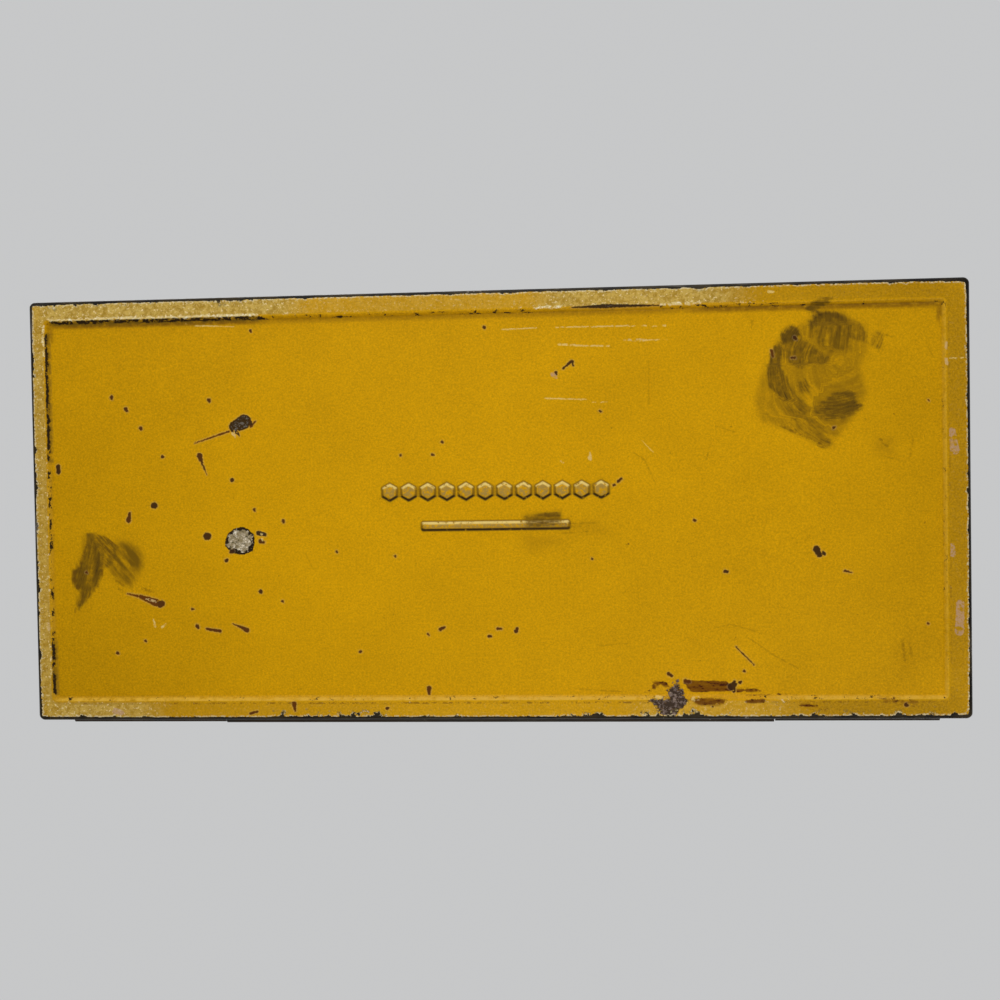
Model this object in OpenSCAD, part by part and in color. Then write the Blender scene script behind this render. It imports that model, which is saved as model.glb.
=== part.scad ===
// Flat hinged tin for one row of coloured pencils, lying shut with its lid up.
// Millimetres. +X runs along the tin, the hinge is at +Y, +Z is up and the tin rests on z = 0.
// The origin is at the middle of the whole tin's outline, hinge knuckles included, on its underside.

/* [Tin] */
// Length of the tray, outside its walls
tin_length = 190; // [150:0.5:240]
// Width of the tray, outside its walls
tin_width = 86.8; // [60:0.1:150]
// Height of the shut tin
tin_height = 12.5; // [11.5:0.1:16]
// Thickness of the tinplate
sheet = 0.28; // [0.2:0.01:0.4]
// Radius of the upright corners of the tray
corner_radius = 1.2; // [1.2:0.1:4]
// Radius of the edge between walls and flat face
edge_radius = 1; // [0.6:0.1:1.1]

/* [Pressed panels] */
// Width of the flat border around the pressed panels, from the tray's wall
panel_inset = 4; // [3.5:0.1:12]
// Place of the underside's panel along the tin, from its middle
base_panel_x = -0.7; // [-1:0.1:1]
// Depth of the panel pressed into the underside
base_panel_depth = 0.8; // [0.4:0.1:1.2]
// Depth of the panel pressed into the lid
lid_panel_depth = 0.5; // [0.3:0.1:1]
// Width of the sloping step around a panel
step_run = 0.9; // [0.4:0.1:2]

/* [Relief on the underside] */
// Number of pips in the row
pip_count = 12; // [1:1:16]
// Distance between neighbouring pips
pip_pitch = 3.9; // [3.8:0.1:6]
// Width of a pip across its flats
pip_width = 3; // [2:0.1:3.2]
// Height of the relief
pip_height = 0.35; // [0.2:0.05:0.4]
// Length of the plain bar under the row
bar_length = 30; // [10:1:60]
// Width of the plain bar
bar_width = 1.6; // [1.2:0.1:3]
// Distance from the row of pips to the bar
bar_spacing = 7; // [4:0.1:9]
// Place of the relief along the tin
relief_x = 1.1; // [-20:0.1:20]
// Place of the relief across the tin
relief_y = -3; // [-15:0.5:15]

/* [Hems and lid] */
// Height of the folded hems at the tray's rim and the lid's edge
hem_height = 1.6; // [1:0.1:2]
// Depth of the lid's skirt, from the top of the lid
skirt_depth = 4.7; // [4.5:0.1:6]
// Gap between the lid's hem and the tray's wall
skirt_gap = 0.25; // [0.2:0.01:0.5]
// Gap between the tray's rim and the lid's inside
seat_gap = 0.05; // [0.02:0.01:0.2]

/* [Hinge] */
// Height of the pin's axis above the lower edge of the lid's skirt
pin_rise = 0.2; // [0:0.05:0.5]
// Diameter of the hinge wire
pin_diameter = 0.8; // [0.8:0.05:1.2]
// Radial clearance of the wire in the outer knuckles
pin_clearance = 0.03; // [0.02:0.01:0.08]
// Length of the middle knuckle, rolled from the tray
middle_knuckle = 114; // [60:1:118]
// How much looser the middle knuckle is rolled than the outer ones, in radius
middle_looseness = 0.2; // [0:0.05:0.2]
// Distance from each end of the tray to the end of the hinge
hinge_margin = 4.9; // [4.5:0.1:12]
// Gap between neighbouring knuckles
knuckle_gap = 0.3; // [0.2:0.05:0.6]
// Length of wire that stands out at each end
pin_end = 0.4; // [0:0.1:1]

/* [Hidden] */
$fn = 64;
hex_sides = 6;
hex_turn = 180 / hex_sides;
enamel = [0.76, 0.57, 0.04];
japan_black = [0.07, 0.06, 0.05];
wire_grey = [0.6, 0.58, 0.54];

// Knuckles
bore_radius = pin_diameter / 2 + pin_clearance;
knuckle_radius = bore_radius + sheet;
middle_radius = knuckle_radius + middle_looseness;
lid_overhang = skirt_gap + 2 * sheet;
hinge_out = skirt_gap + knuckle_radius;
hinge_length = tin_length - 2 * hinge_margin;
outer_knuckle = (hinge_length - middle_knuckle) / 2 - knuckle_gap;
outer_knuckle_x = (hinge_length - outer_knuckle) / 2;
pin_length = hinge_length + 2 * pin_end;
hinge_cut_length = pin_length + 2 * knuckle_gap;

// The outline's middle lies between the lid's front and the back of the knuckles
centring = (lid_overhang - hinge_out - middle_radius) / 2;

// Tray and lid
rim_height = tin_height - sheet - seat_gap;
skirt_bottom = tin_height - skirt_depth;
lid_length = tin_length + 2 * lid_overhang;
lid_width = tin_width + 2 * lid_overhang;
lid_corner = corner_radius + lid_overhang;
lid_inset = panel_inset + lid_overhang;
hinge_height = skirt_bottom + pin_rise;
middle_wall_top = hinge_height + middle_radius;
middle_skirt_bottom = middle_wall_top + skirt_gap;

// Turns a profile round the four corners: its x runs outwards and its y runs up
module corner_sweep(reach_x, reach_y) {
    for (side = [0:3]) {
        turn = side * 90;
        x_sign = (side == 0 || side == 3) ? 1 : -1;
        y_sign = side < 2 ? 1 : -1;
        translate([x_sign * reach_x, y_sign * reach_y, 0])
            rotate([0, 0, turn])
                rotate_extrude(angle = 90) children();
    }
}

// Runs a profile along one straight side
module straight_run(span) {
    rotate([90, 0, 0])
        translate([0, 0, -span / 2])
            linear_extrude(height = span) children();
}

// Sweeps a wall's profile round a rectangle with round corners
module wall_sweep(length, width, radius) {
    reach_x = length / 2 - radius;
    reach_y = width / 2 - radius;
    corner_sweep(reach_x, reach_y) children();
    for (side = [0, 1])
        rotate([0, 0, side * 180]) translate([reach_x, 0, 0]) straight_run(2 * reach_y) children();
    for (side = [0, 1])
        rotate([0, 0, 90 + side * 180]) translate([reach_y, 0, 0]) straight_run(2 * reach_x) children();
}

// Section of a wall that stands on a floor: floor, round edge, wall and inward hem
module wall_section(radius, height, hem) {
    square([radius - edge_radius, sheet]);
    translate([radius - edge_radius, edge_radius]) intersection() {
        difference() {
            circle(r = edge_radius);
            circle(r = edge_radius - sheet);
        }
        translate([0, -edge_radius]) square([edge_radius, edge_radius]);
    }
    translate([radius - sheet, edge_radius]) square([sheet, height - sheet - edge_radius]);
    translate([radius - 2 * sheet, height - hem]) square([sheet, hem - sheet]);
    translate([radius - sheet, height - sheet]) intersection() {
        circle(r = sheet);
        translate([-sheet, 0]) square([2 * sheet, sheet]);
    }
}

// A block whose four sides lean inwards towards its top
module leaning_block(length, width, height, lean) {
    intersection() {
        rotate([90, 0, 0]) translate([0, 0, -width / 2]) linear_extrude(height = width)
            leaning_outline(length, height, lean);
        rotate([90, 0, 90]) translate([0, 0, -length / 2]) linear_extrude(height = length)
            leaning_outline(width, height, lean);
    }
}

module leaning_outline(span, height, lean) {
    foot = span / 2;
    top = foot - lean;
    polygon([[-foot, 0], [foot, 0], [top, height], [-top, height]]);
}

// The flat floor inside the round corners, with its panel pressed upwards
module pressed_floor(length, width, radius, inset, depth, panel_x) {
    panel_length = length - 2 * inset;
    panel_width = width - 2 * inset;
    // The flat reaches halfway into the foot of the wall's section
    flat_inset = (radius + edge_radius) / 2;
    flat_length = length - 2 * flat_inset;
    flat_width = width - 2 * flat_inset;
    difference() {
        union() {
            translate([-flat_length / 2, -flat_width / 2, 0]) cube([flat_length, flat_width, sheet]);
            translate([panel_x, 0, sheet]) leaning_block(panel_length, panel_width, depth, step_run);
        }
        translate([panel_x, 0, 0]) leaning_block(panel_length, panel_width, depth, step_run);
    }
}

// Ring of one sheet's thickness, centred on the pin's axis
module knuckle(radius, length) {
    rotate([0, 90, 0]) difference() {
        cylinder(r = radius, h = length, center = true);
        cylinder(r = radius - sheet, h = 2 * length, center = true);
    }
}

module at_hinge() {
    translate([0, tin_width / 2 + hinge_out, hinge_height]) children();
}

// The row of six-sided pips and its bar, shrunk inwards by a margin, over the given height
module relief(margin, height) {
    for (index = [0:pip_count - 1])
        translate([relief_x + (index - (pip_count - 1) / 2) * pip_pitch, relief_y, 0])
            rotate([0, 0, hex_turn])
                cylinder(r = (pip_width / 2 - margin) / cos(hex_turn), h = height, $fn = hex_sides);
    translate([relief_x - bar_length / 2 + margin, relief_y + bar_spacing - bar_width / 2 + margin, 0])
        cube([bar_length - 2 * margin, bar_width - 2 * margin, height]);
}

module tray() {
    color(enamel) translate([0, centring, 0]) {
        difference() {
            union() {
                wall_sweep(tin_length, tin_width, corner_radius)
                    wall_section(corner_radius, rim_height, hem_height);
                pressed_floor(tin_length, tin_width, corner_radius, panel_inset, base_panel_depth,
                    base_panel_x);
                translate([0, 0, base_panel_depth - pip_height]) relief(0, pip_height + sheet / 2);
            }
            translate([0, 0, base_panel_depth - pip_height + sheet]) relief(sheet, pip_height + sheet);
            middle_wall_cut();
        }
        at_hinge() knuckle(middle_radius, middle_knuckle);
        knuckle_web();
    }
}

// Cuts the back wall down to the top of the middle knuckle
module middle_wall_cut() {
    cut_length = middle_knuckle + 2 * knuckle_gap;
    cut_depth = 4 * sheet;
    translate([-cut_length / 2, tin_width / 2 - cut_depth, middle_wall_top])
        cube([cut_length, cut_depth + sheet, tin_height]);
}

// Flange from the back wall's top outwards to the middle knuckle
module knuckle_web() {
    translate([-middle_knuckle / 2, tin_width / 2 - sheet, middle_wall_top - sheet])
        cube([middle_knuckle, hinge_out + sheet, sheet]);
}

module lid() {
    color(japan_black) translate([0, centring, 0]) {
        difference() {
            translate([0, 0, tin_height]) mirror([0, 0, 1]) union() {
                wall_sweep(lid_length, lid_width, lid_corner)
                    wall_section(lid_corner, skirt_depth, hem_height);
                pressed_floor(lid_length, lid_width, lid_corner, lid_inset, lid_panel_depth, 0);
            }
            skirt_cut(middle_knuckle + 2 * knuckle_gap, middle_skirt_bottom);
            skirt_cut(hinge_cut_length, hinge_height + bore_radius);
            hem_cut();
        }
        for (side = [-1, 1])
            translate([side * outer_knuckle_x, 0, 0]) at_hinge() knuckle(knuckle_radius, outer_knuckle);
    }
}

// Cuts the back skirt away below a height, over a stretch of the hinge
module skirt_cut(length, top) {
    translate([-length / 2, tin_width / 2, 0]) cube([length, lid_overhang + sheet, top]);
}

// Takes the hem's inner layer away over the hinge, where the skirt is one sheet
module hem_cut() {
    translate([-hinge_cut_length / 2, tin_width / 2, 0])
        cube([hinge_cut_length, skirt_gap + sheet, skirt_bottom + 2 * hem_height]);
}

module hinge_pin() {
    color(wire_grey) translate([0, centring, 0]) at_hinge()
        rotate([0, 90, 0]) cylinder(d = pin_diameter, h = pin_length, center = true);
}

tray();
lid();
hinge_pin();
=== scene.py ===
"""Worn enamel, folded sheet metal, camera and studio for a flat hinged colored pencil tin.

The tin lies shut on z = 0 with its lid up. The photograph shows its underside, so the camera looks
up from beneath it. Sizes and marks are in millimetres, measured on the tray: x along the tin, y
towards the hinge and z up, from the middle of the tray's flat face.
"""

import bpy
import numpy as np
from mathutils import Matrix, Vector


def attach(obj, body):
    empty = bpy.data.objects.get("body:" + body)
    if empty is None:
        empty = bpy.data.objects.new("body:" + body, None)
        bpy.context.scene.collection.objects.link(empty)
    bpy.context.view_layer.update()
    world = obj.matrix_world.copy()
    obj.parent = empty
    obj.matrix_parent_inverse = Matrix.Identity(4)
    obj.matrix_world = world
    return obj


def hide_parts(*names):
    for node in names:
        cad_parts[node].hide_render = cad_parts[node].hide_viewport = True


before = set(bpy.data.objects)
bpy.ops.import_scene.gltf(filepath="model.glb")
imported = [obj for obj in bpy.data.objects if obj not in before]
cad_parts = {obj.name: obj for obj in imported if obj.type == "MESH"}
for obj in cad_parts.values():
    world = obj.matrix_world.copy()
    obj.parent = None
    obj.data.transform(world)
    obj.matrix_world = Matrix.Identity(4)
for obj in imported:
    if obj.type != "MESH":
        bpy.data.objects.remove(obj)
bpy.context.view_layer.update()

MM = 0.001

# Sizes, as in the part's source
LENGTH = 190.0
WIDTH = 86.8
HEIGHT = 12.5
SHEET = 0.28
CORNER = 1.2
EDGE = 1.0
PANEL_INSET = 4.0
BASE_PANEL_X = -0.7
BASE_DEPTH = 0.8
LID_DEPTH = 0.5
PIP_COUNT = 12
PIP_PITCH = 3.9
PIP_WIDTH = 3.0
PIP_HEIGHT = 0.35
BAR_LENGTH = 30.0
BAR_WIDTH = 1.6
BAR_SPACING = 7.0
RELIEF_X = 1.1
RELIEF_Y = -3.0
HEM = 1.6
SKIRT_DEPTH = 4.7
SKIRT_GAP = 0.25
SEAT_GAP = 0.05
PIN_RISE = 0.2
PIN_RADIUS = 0.4
PIN_CLEARANCE = 0.03
MIDDLE_KNUCKLE = 114.0
MIDDLE_LOOSENESS = 0.2
HINGE_MARGIN = 4.9
KNUCKLE_GAP = 0.3
PIN_END = 0.4

# Sizes that follow from them
OVERHANG = SKIRT_GAP + 2 * SHEET
ROLL = PIN_RADIUS + PIN_CLEARANCE + SHEET / 2
KNUCKLE = ROLL + SHEET / 2
MIDDLE_ROLL = ROLL + MIDDLE_LOOSENESS
MIDDLE_TOP = MIDDLE_ROLL + SHEET / 2
HINGE_Y = WIDTH / 2 + SKIRT_GAP + KNUCKLE
HINGE_Z = HEIGHT - SKIRT_DEPTH + PIN_RISE
HINGE_LENGTH = LENGTH - 2 * HINGE_MARGIN
OUTER_KNUCKLE = (HINGE_LENGTH - MIDDLE_KNUCKLE) / 2 - KNUCKLE_GAP
PIN_LENGTH = HINGE_LENGTH + 2 * PIN_END
MIDDLE_CUT = MIDDLE_KNUCKLE / 2 + KNUCKLE_GAP
HINGE_CUT = PIN_LENGTH / 2 + KNUCKLE_GAP
CENTRING = (OVERHANG - SKIRT_GAP - KNUCKLE - MIDDLE_TOP) / 2
RIM_HEIGHT = HEIGHT - SHEET - SEAT_GAP
PANEL_X = LENGTH / 2 - PANEL_INSET
PANEL_Y = WIDTH / 2 - PANEL_INSET
PANEL_CORNER = 0.9
STEP_RUN = 1.0
PIP_SLOPE = 0.5
BAR_CORNER = 0.4
WIRE_ROUND = 0.3
WIRE_STRAIGHT = 0.4

# How far the dents fade out towards a face's edge, and how far off a side its wear reaches
BASE_FADE = 2.0
LID_FADE = 4.0
SIDE_REACH = 3.0
CORNER_REACH = 5.0

# Mesh: half the width of a cut's edge, the distance that is merged, and steps round a corner
CUT_STEP = 0.02
WELD = 0.0001
CORNER_STEPS = 8


def smooth(low, high, value):
    """Rises from 0 to 1 between low and high: t squared times (3 - 2 t), with t clipped to 0..1."""
    t = np.clip((value - low) / (high - low), 0.0, 1.0)
    return t * t * (3.0 - 2.0 * t)


def depth_inside(x, y, half_x, half_y, radius):
    """Distance inwards from a rectangle with round corners, negative outside it.

    The rectangle is shrunk by the radius, and the distance to what is left is taken from the radius.
    """
    over_x = np.abs(x) - (half_x - radius)
    over_y = np.abs(y) - (half_y - radius)
    beyond = np.hypot(np.maximum(over_x, 0.0), np.maximum(over_y, 0.0))
    return radius - beyond - np.minimum(np.maximum(over_x, over_y), 0.0)


def relief_inside(x, y):
    """Distance inwards from the outline of the nearest pip or of the bar, negative outside them.

    For a pip it is half its width less the largest of the distances square to its three pairs of sides.
    """
    middle = (PIP_COUNT - 1) / 2
    column = np.clip(np.round((x - RELIEF_X) / PIP_PITCH + middle), 0, PIP_COUNT - 1)
    u = np.abs(x - RELIEF_X - (column - middle) * PIP_PITCH)
    v = np.abs(y - RELIEF_Y)
    pip = PIP_WIDTH / 2 - np.maximum(u, u / 2 + v * np.sqrt(0.75))
    bar = depth_inside(x - RELIEF_X, y - RELIEF_Y - BAR_SPACING, BAR_LENGTH / 2, BAR_WIDTH / 2, BAR_CORNER)
    return np.maximum(pip, bar)


# Dents: x, y, reach along x and y, depth into the tin
BASE_DENTS = (
    (80.0, 3.0, 7.0, 15.0, 0.10), (84.0, 24.0, 9.0, 7.0, -0.08), (66.0, 26.0, 14.0, 6.0, 0.07),
    (-70.0, -25.0, 18.0, 9.0, -0.06), (-20.0, 22.0, 30.0, 8.0, 0.06), (38.0, -20.0, 16.0, 9.0, 0.07),
    (57.0, 5.0, 10.0, 20.0, -0.06), (-50.0, 12.0, 12.0, 16.0, 0.05), (35.0, 38.5, 4.0, 2.0, 0.18),
    (-78.0, 12.0, 5.0, 8.0, -0.05), (10.0, -41.0, 9.0, 1.5, 0.06), (-30.0, 41.3, 12.0, 1.2, 0.06),
)
LID_DENTS = (
    (-62.0, 20.0, 12.0, 9.0, 0.12), (40.0, -24.0, 22.0, 7.0, 0.08), (74.0, 18.0, 6.0, 8.0, 0.10),
    (5.0, 8.0, 34.0, 15.0, 0.07), (-30.0, -28.0, 16.0, 6.0, -0.06), (-80.0, -22.0, 5.0, 9.0, 0.08),
)


def dented(x, y, dents):
    """Sum of bell-shaped hollows: each is its depth times e to the minus squared scaled distance."""
    total = np.zeros(np.shape(x))
    for at_x, at_y, reach_x, reach_y, depth in dents:
        away = ((x - at_x) / reach_x) ** 2 + ((y - at_y) / reach_y) ** 2
        total += depth * np.exp(-away)
    return total


def base_floor(x, y):
    """Height of the tray's flat face: the pressed panel, less its relief, with dents in the panel."""
    step = smooth(0.0, STEP_RUN, depth_inside(x - BASE_PANEL_X, y, PANEL_X, PANEL_Y, PANEL_CORNER))
    relief = PIP_HEIGHT * smooth(0.0, PIP_SLOPE, relief_inside(x, y))
    border = smooth(0.0, BASE_FADE, depth_inside(x, y, LENGTH / 2 - CORNER, WIDTH / 2 - CORNER, 0.01))
    dents = dented(x, y, BASE_DENTS) * border
    return np.maximum(BASE_DEPTH * step - relief + dents, 0.0)


def lid_floor(x, y):
    """Depth of the lid's face below its top: the pressed panel and a few dents in it."""
    inside = depth_inside(x, y, PANEL_X, PANEL_Y, PANEL_CORNER)
    step = smooth(0.0, STEP_RUN, inside)
    return np.maximum(LID_DEPTH * step + dented(x, y, LID_DENTS) * smooth(0.0, LID_FADE, inside), 0.0)


def grid_lines(reach, usual_gap, bands, cuts=()):
    """Places of grid lines from -reach to reach, closer together in the given bands.

    One over the wanted gap is summed along the span and the lines stand at equal shares of the sum,
    an even number of gaps. Two lines are put in at each cut.
    """
    place = np.linspace(-reach, reach, 8001)
    gap = np.full(place.shape, usual_gap)
    for low, high, band_gap in bands:
        gap = np.where((place >= low) & (place <= high), band_gap, gap)
    share = np.concatenate([[0.0], np.cumsum((place[1] - place[0]) / gap[1:])])
    count = 2 * int(round(share[-1] / 2)) + 1
    lines = np.interp(np.linspace(0.0, share[-1], count), share, place)
    pairs = [cut + side for cut in cuts for side in (-CUT_STEP, CUT_STEP)]
    return np.sort(np.concatenate([lines, pairs]))


def ring(xs, ys):
    """Points round the rectangle that the grid lines end on, anticlockwise, with outward directions.

    Along a side the direction is square to it. At a corner it turns by equal steps through 90 degrees.
    """
    turn = np.linspace(0.0, np.pi / 2, CORNER_STEPS + 1)[1:-1]
    right = np.stack([np.full(ys.size, xs[-1]), ys], axis=1)
    back = np.stack([xs[::-1], np.full(xs.size, ys[-1])], axis=1)
    left = np.stack([np.full(ys.size, xs[0]), ys[::-1]], axis=1)
    front = np.stack([xs, np.full(xs.size, ys[0])], axis=1)
    points, angles = [], []
    for quarter, line in enumerate((right, back, left, front)):
        angle = quarter * np.pi / 2
        points += [line, np.repeat(line[-1:], turn.size, axis=0)]
        angles += [np.full(len(line), angle), angle + turn]
    angles = np.concatenate(angles)
    return np.concatenate(points), np.stack([np.cos(angles), np.sin(angles)], axis=1)


def band(lower, upper):
    """Two triangles for each step between two closed rows of point numbers."""
    lower_next, upper_next = np.roll(lower, -1), np.roll(upper, -1)
    first = np.stack([lower, lower_next, upper_next], axis=1)
    return np.concatenate([first, np.stack([lower, upper_next, upper], axis=1)])


def thinning_band(fine, coarse):
    """Three triangles for each step of a closed row that meets a row with twice its points."""
    first, middle = fine[0::2], fine[1::2]
    last, after = np.roll(first, -1), np.roll(coarse, -1)
    left = np.stack([first, middle, coarse], axis=1)
    centre = np.stack([middle, after, coarse], axis=1)
    return np.concatenate([left, centre, np.stack([middle, last, after], axis=1)])


def grid_faces(numbers):
    """Two triangles for each cell of a grid of point numbers."""
    a, b, c, d = numbers[:-1, :-1], numbers[:-1, 1:], numbers[1:, 1:], numbers[1:, :-1]
    first = np.stack([a.ravel(), b.ravel(), c.ravel()], axis=1)
    return np.concatenate([first, np.stack([a.ravel(), c.ravel(), d.ravel()], axis=1)])


def pan(xs, ys, floor, corner, height, back_limits, plain_reach, thin_below):
    """A closed pan of folded sheet: outer face, round edge, wall, hem, inner wall and inner face.

    The wall's section is a list of (outwards, upwards) pairs carried round the ring of points. Along
    the back, heights are cut to the limit of the stretch, and without a hem the wall is one sheet.
    It gives the points, the triangles, and for each triangle whether it is on the inside.
    """
    foot, single, double = corner - EDGE, corner - SHEET, corner - 2 * SHEET
    quarter = np.linspace(0.0, np.pi / 2, 8)
    half = np.linspace(0.0, np.pi, 7)
    wall = np.linspace(EDGE, height - SHEET, 8)[1:-1]
    inner_quarter = np.linspace(np.pi / 2, 0.0, 5)
    down = np.linspace(height - HEM, EDGE, 6)
    outside = np.concatenate([
        np.stack([foot + EDGE * np.sin(quarter), EDGE - EDGE * np.cos(quarter)], axis=1),
        np.stack([np.full(wall.size, corner), wall], axis=1),
        np.stack([single + SHEET * np.cos(half), height - SHEET + SHEET * np.sin(half)], axis=1),
        [[double, height - HEM]],
    ])
    inner_round = EDGE - SHEET
    inside = np.concatenate([
        np.stack([np.full(down.size, single), down], axis=1),
        np.stack([foot + inner_round * np.sin(inner_quarter),
                  EDGE - inner_round * np.cos(inner_quarter)], axis=1)[1:],
        [[0.0, SHEET]],
    ])
    section = np.concatenate([[[0.0, 0.0]], outside, inside])
    last_outside = len(outside)
    first_coarse = int(np.argmax((np.arange(len(section)) > last_outside) & (section[:, 1] < thin_below)))

    base, direction = ring(xs, ys)
    at_back = direction[:, 1] > 0.999
    limit = np.full(len(base), np.inf)
    for reach, top in back_limits:
        limit = np.where(at_back & (np.abs(base[:, 0]) < reach), top, limit)
    plain = at_back & (np.abs(base[:, 0]) < plain_reach)

    outer_grid = np.stack(np.meshgrid(xs, ys, indexing="ij"), axis=-1)
    outer_z = floor(outer_grid[..., 0], outer_grid[..., 1])
    points = [np.concatenate([outer_grid, outer_z[..., None]], axis=-1).reshape(-1, 3)]
    outer_faces = grid_faces(np.arange(xs.size * ys.size).reshape(xs.size, ys.size))
    faces, hidden = [outer_faces], [np.zeros(len(outer_faces), bool)]
    count = xs.size * ys.size
    row_before = None
    for number, (outwards, upwards) in enumerate(section):
        every = 2 if number >= first_coarse else 1
        reach = np.where(plain, max(outwards, single) if outwards >= double else outwards, outwards)
        rise = np.minimum(upwards, limit)
        place = np.concatenate([base + direction * reach[:, None], rise[:, None]], axis=1)[::every]
        row = np.arange(count, count + len(place))
        if row_before is not None:
            join = band if len(row) == len(row_before) else thinning_band
            faces.append(join(row_before, row))
            hidden.append(np.full(len(faces[-1]), number > last_outside))
        points.append(place)
        count += len(place)
        row_before = row
    inner_grid = np.stack(np.meshgrid(xs[::2], ys[::2], indexing="ij"), axis=-1)
    inner_z = floor(inner_grid[..., 0], inner_grid[..., 1]) + SHEET
    points.append(np.concatenate([inner_grid, inner_z[..., None]], axis=-1).reshape(-1, 3))
    numbers = np.arange(inner_z.size).reshape(inner_z.shape) + count
    faces.append(grid_faces(numbers)[:, ::-1])
    hidden.append(np.ones(len(faces[-1]), bool))
    return welded(np.concatenate(points), np.concatenate(faces), np.concatenate(hidden))


def welded(points, faces, hidden):
    """Merges points in the same place, by their rounded coordinates, and drops emptied triangles."""
    rounded = np.round(points / WELD).astype(np.int64)
    _, first, number = np.unique(rounded, axis=0, return_index=True, return_inverse=True)
    faces = number.ravel()[faces]
    whole = (faces[:, 0] != faces[:, 1]) & (faces[:, 1] != faces[:, 2]) & (faces[:, 2] != faces[:, 0])
    return points[first], faces[whole], hidden[whole]


def rolled_strip(path, half_length, at_x, steps):
    """A sheet's thickness laid along a (y, z) path and carried along x, closed at both ends.

    Each side of the sheet is the path moved by half the thickness square to its own direction.
    """
    run = np.gradient(path, axis=0)
    square = np.stack([-run[:, 1], run[:, 0]], axis=1) / np.linalg.norm(run, axis=1)[:, None]
    outline = np.concatenate([path + square * SHEET / 2, (path - square * SHEET / 2)[::-1]])
    xs = at_x + np.linspace(-half_length, half_length, steps)
    size, count = len(outline), len(path)
    points = np.concatenate([np.repeat(xs, size)[:, None], np.tile(outline, (steps, 1))], axis=1)
    numbers = np.arange(steps * size).reshape(steps, size)
    sides = np.concatenate([band(lower, upper) for lower, upper in zip(numbers[:-1], numbers[1:])])
    near, far = numbers[0], numbers[0][::-1]
    cap = grid_faces(np.stack([near[:count], far[:count]]))
    return points, outward(points, np.concatenate([sides, cap, cap[:, ::-1] + (steps - 1) * size]))


def outward(points, faces):
    """Turns the triangles about where their signed volume, a sixth of the triple products, is negative."""
    a, b, c = points[faces[:, 0]], points[faces[:, 1]], points[faces[:, 2]]
    volume = np.einsum("ij,ij->", a - points.mean(axis=0), np.cross(b - a, c - a))
    return faces if volume > 0 else faces[:, ::-1]


def turned_wire(half_length, radius, sides=32, steps=60):
    """A wire along x whose ends are rounded off: its radius follows a quarter ellipse near each end."""
    end = np.linspace(0.0, np.pi / 2, 6)[:-1]
    end_x = half_length - WIRE_ROUND * (1 - np.sin(end))
    end_r = radius * np.cos(end) ** 0.6
    straight = half_length - WIRE_STRAIGHT
    xs = np.concatenate([-end_x[::-1], np.linspace(-straight, straight, steps), end_x])
    rs = np.concatenate([end_r[::-1], np.full(steps, radius), end_r])
    angle = np.linspace(0.0, 2 * np.pi, sides, endpoint=False)
    points = np.stack([
        np.repeat(xs, sides),
        (rs[:, None] * np.cos(angle)).ravel(),
        (rs[:, None] * np.sin(angle)).ravel(),
    ], axis=1)
    numbers = np.arange(xs.size * sides).reshape(xs.size, sides)
    tips = np.array([[-half_length, 0.0, 0.0], [half_length, 0.0, 0.0]])
    points = np.concatenate([points, tips])
    sides_faces = np.concatenate([band(a, b) for a, b in zip(numbers[:-1], numbers[1:])])
    caps = [np.stack([row, np.roll(row, -1), np.full(sides, tip)], axis=1)[:, ::order]
            for row, tip, order in ((numbers[0], len(points) - 2, -1), (numbers[-1], len(points) - 1, 1))]
    points[:, 1] += HINGE_Y
    points[:, 2] += HINGE_Z
    return points, outward(points, np.concatenate([sides_faces, *caps]))
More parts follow.
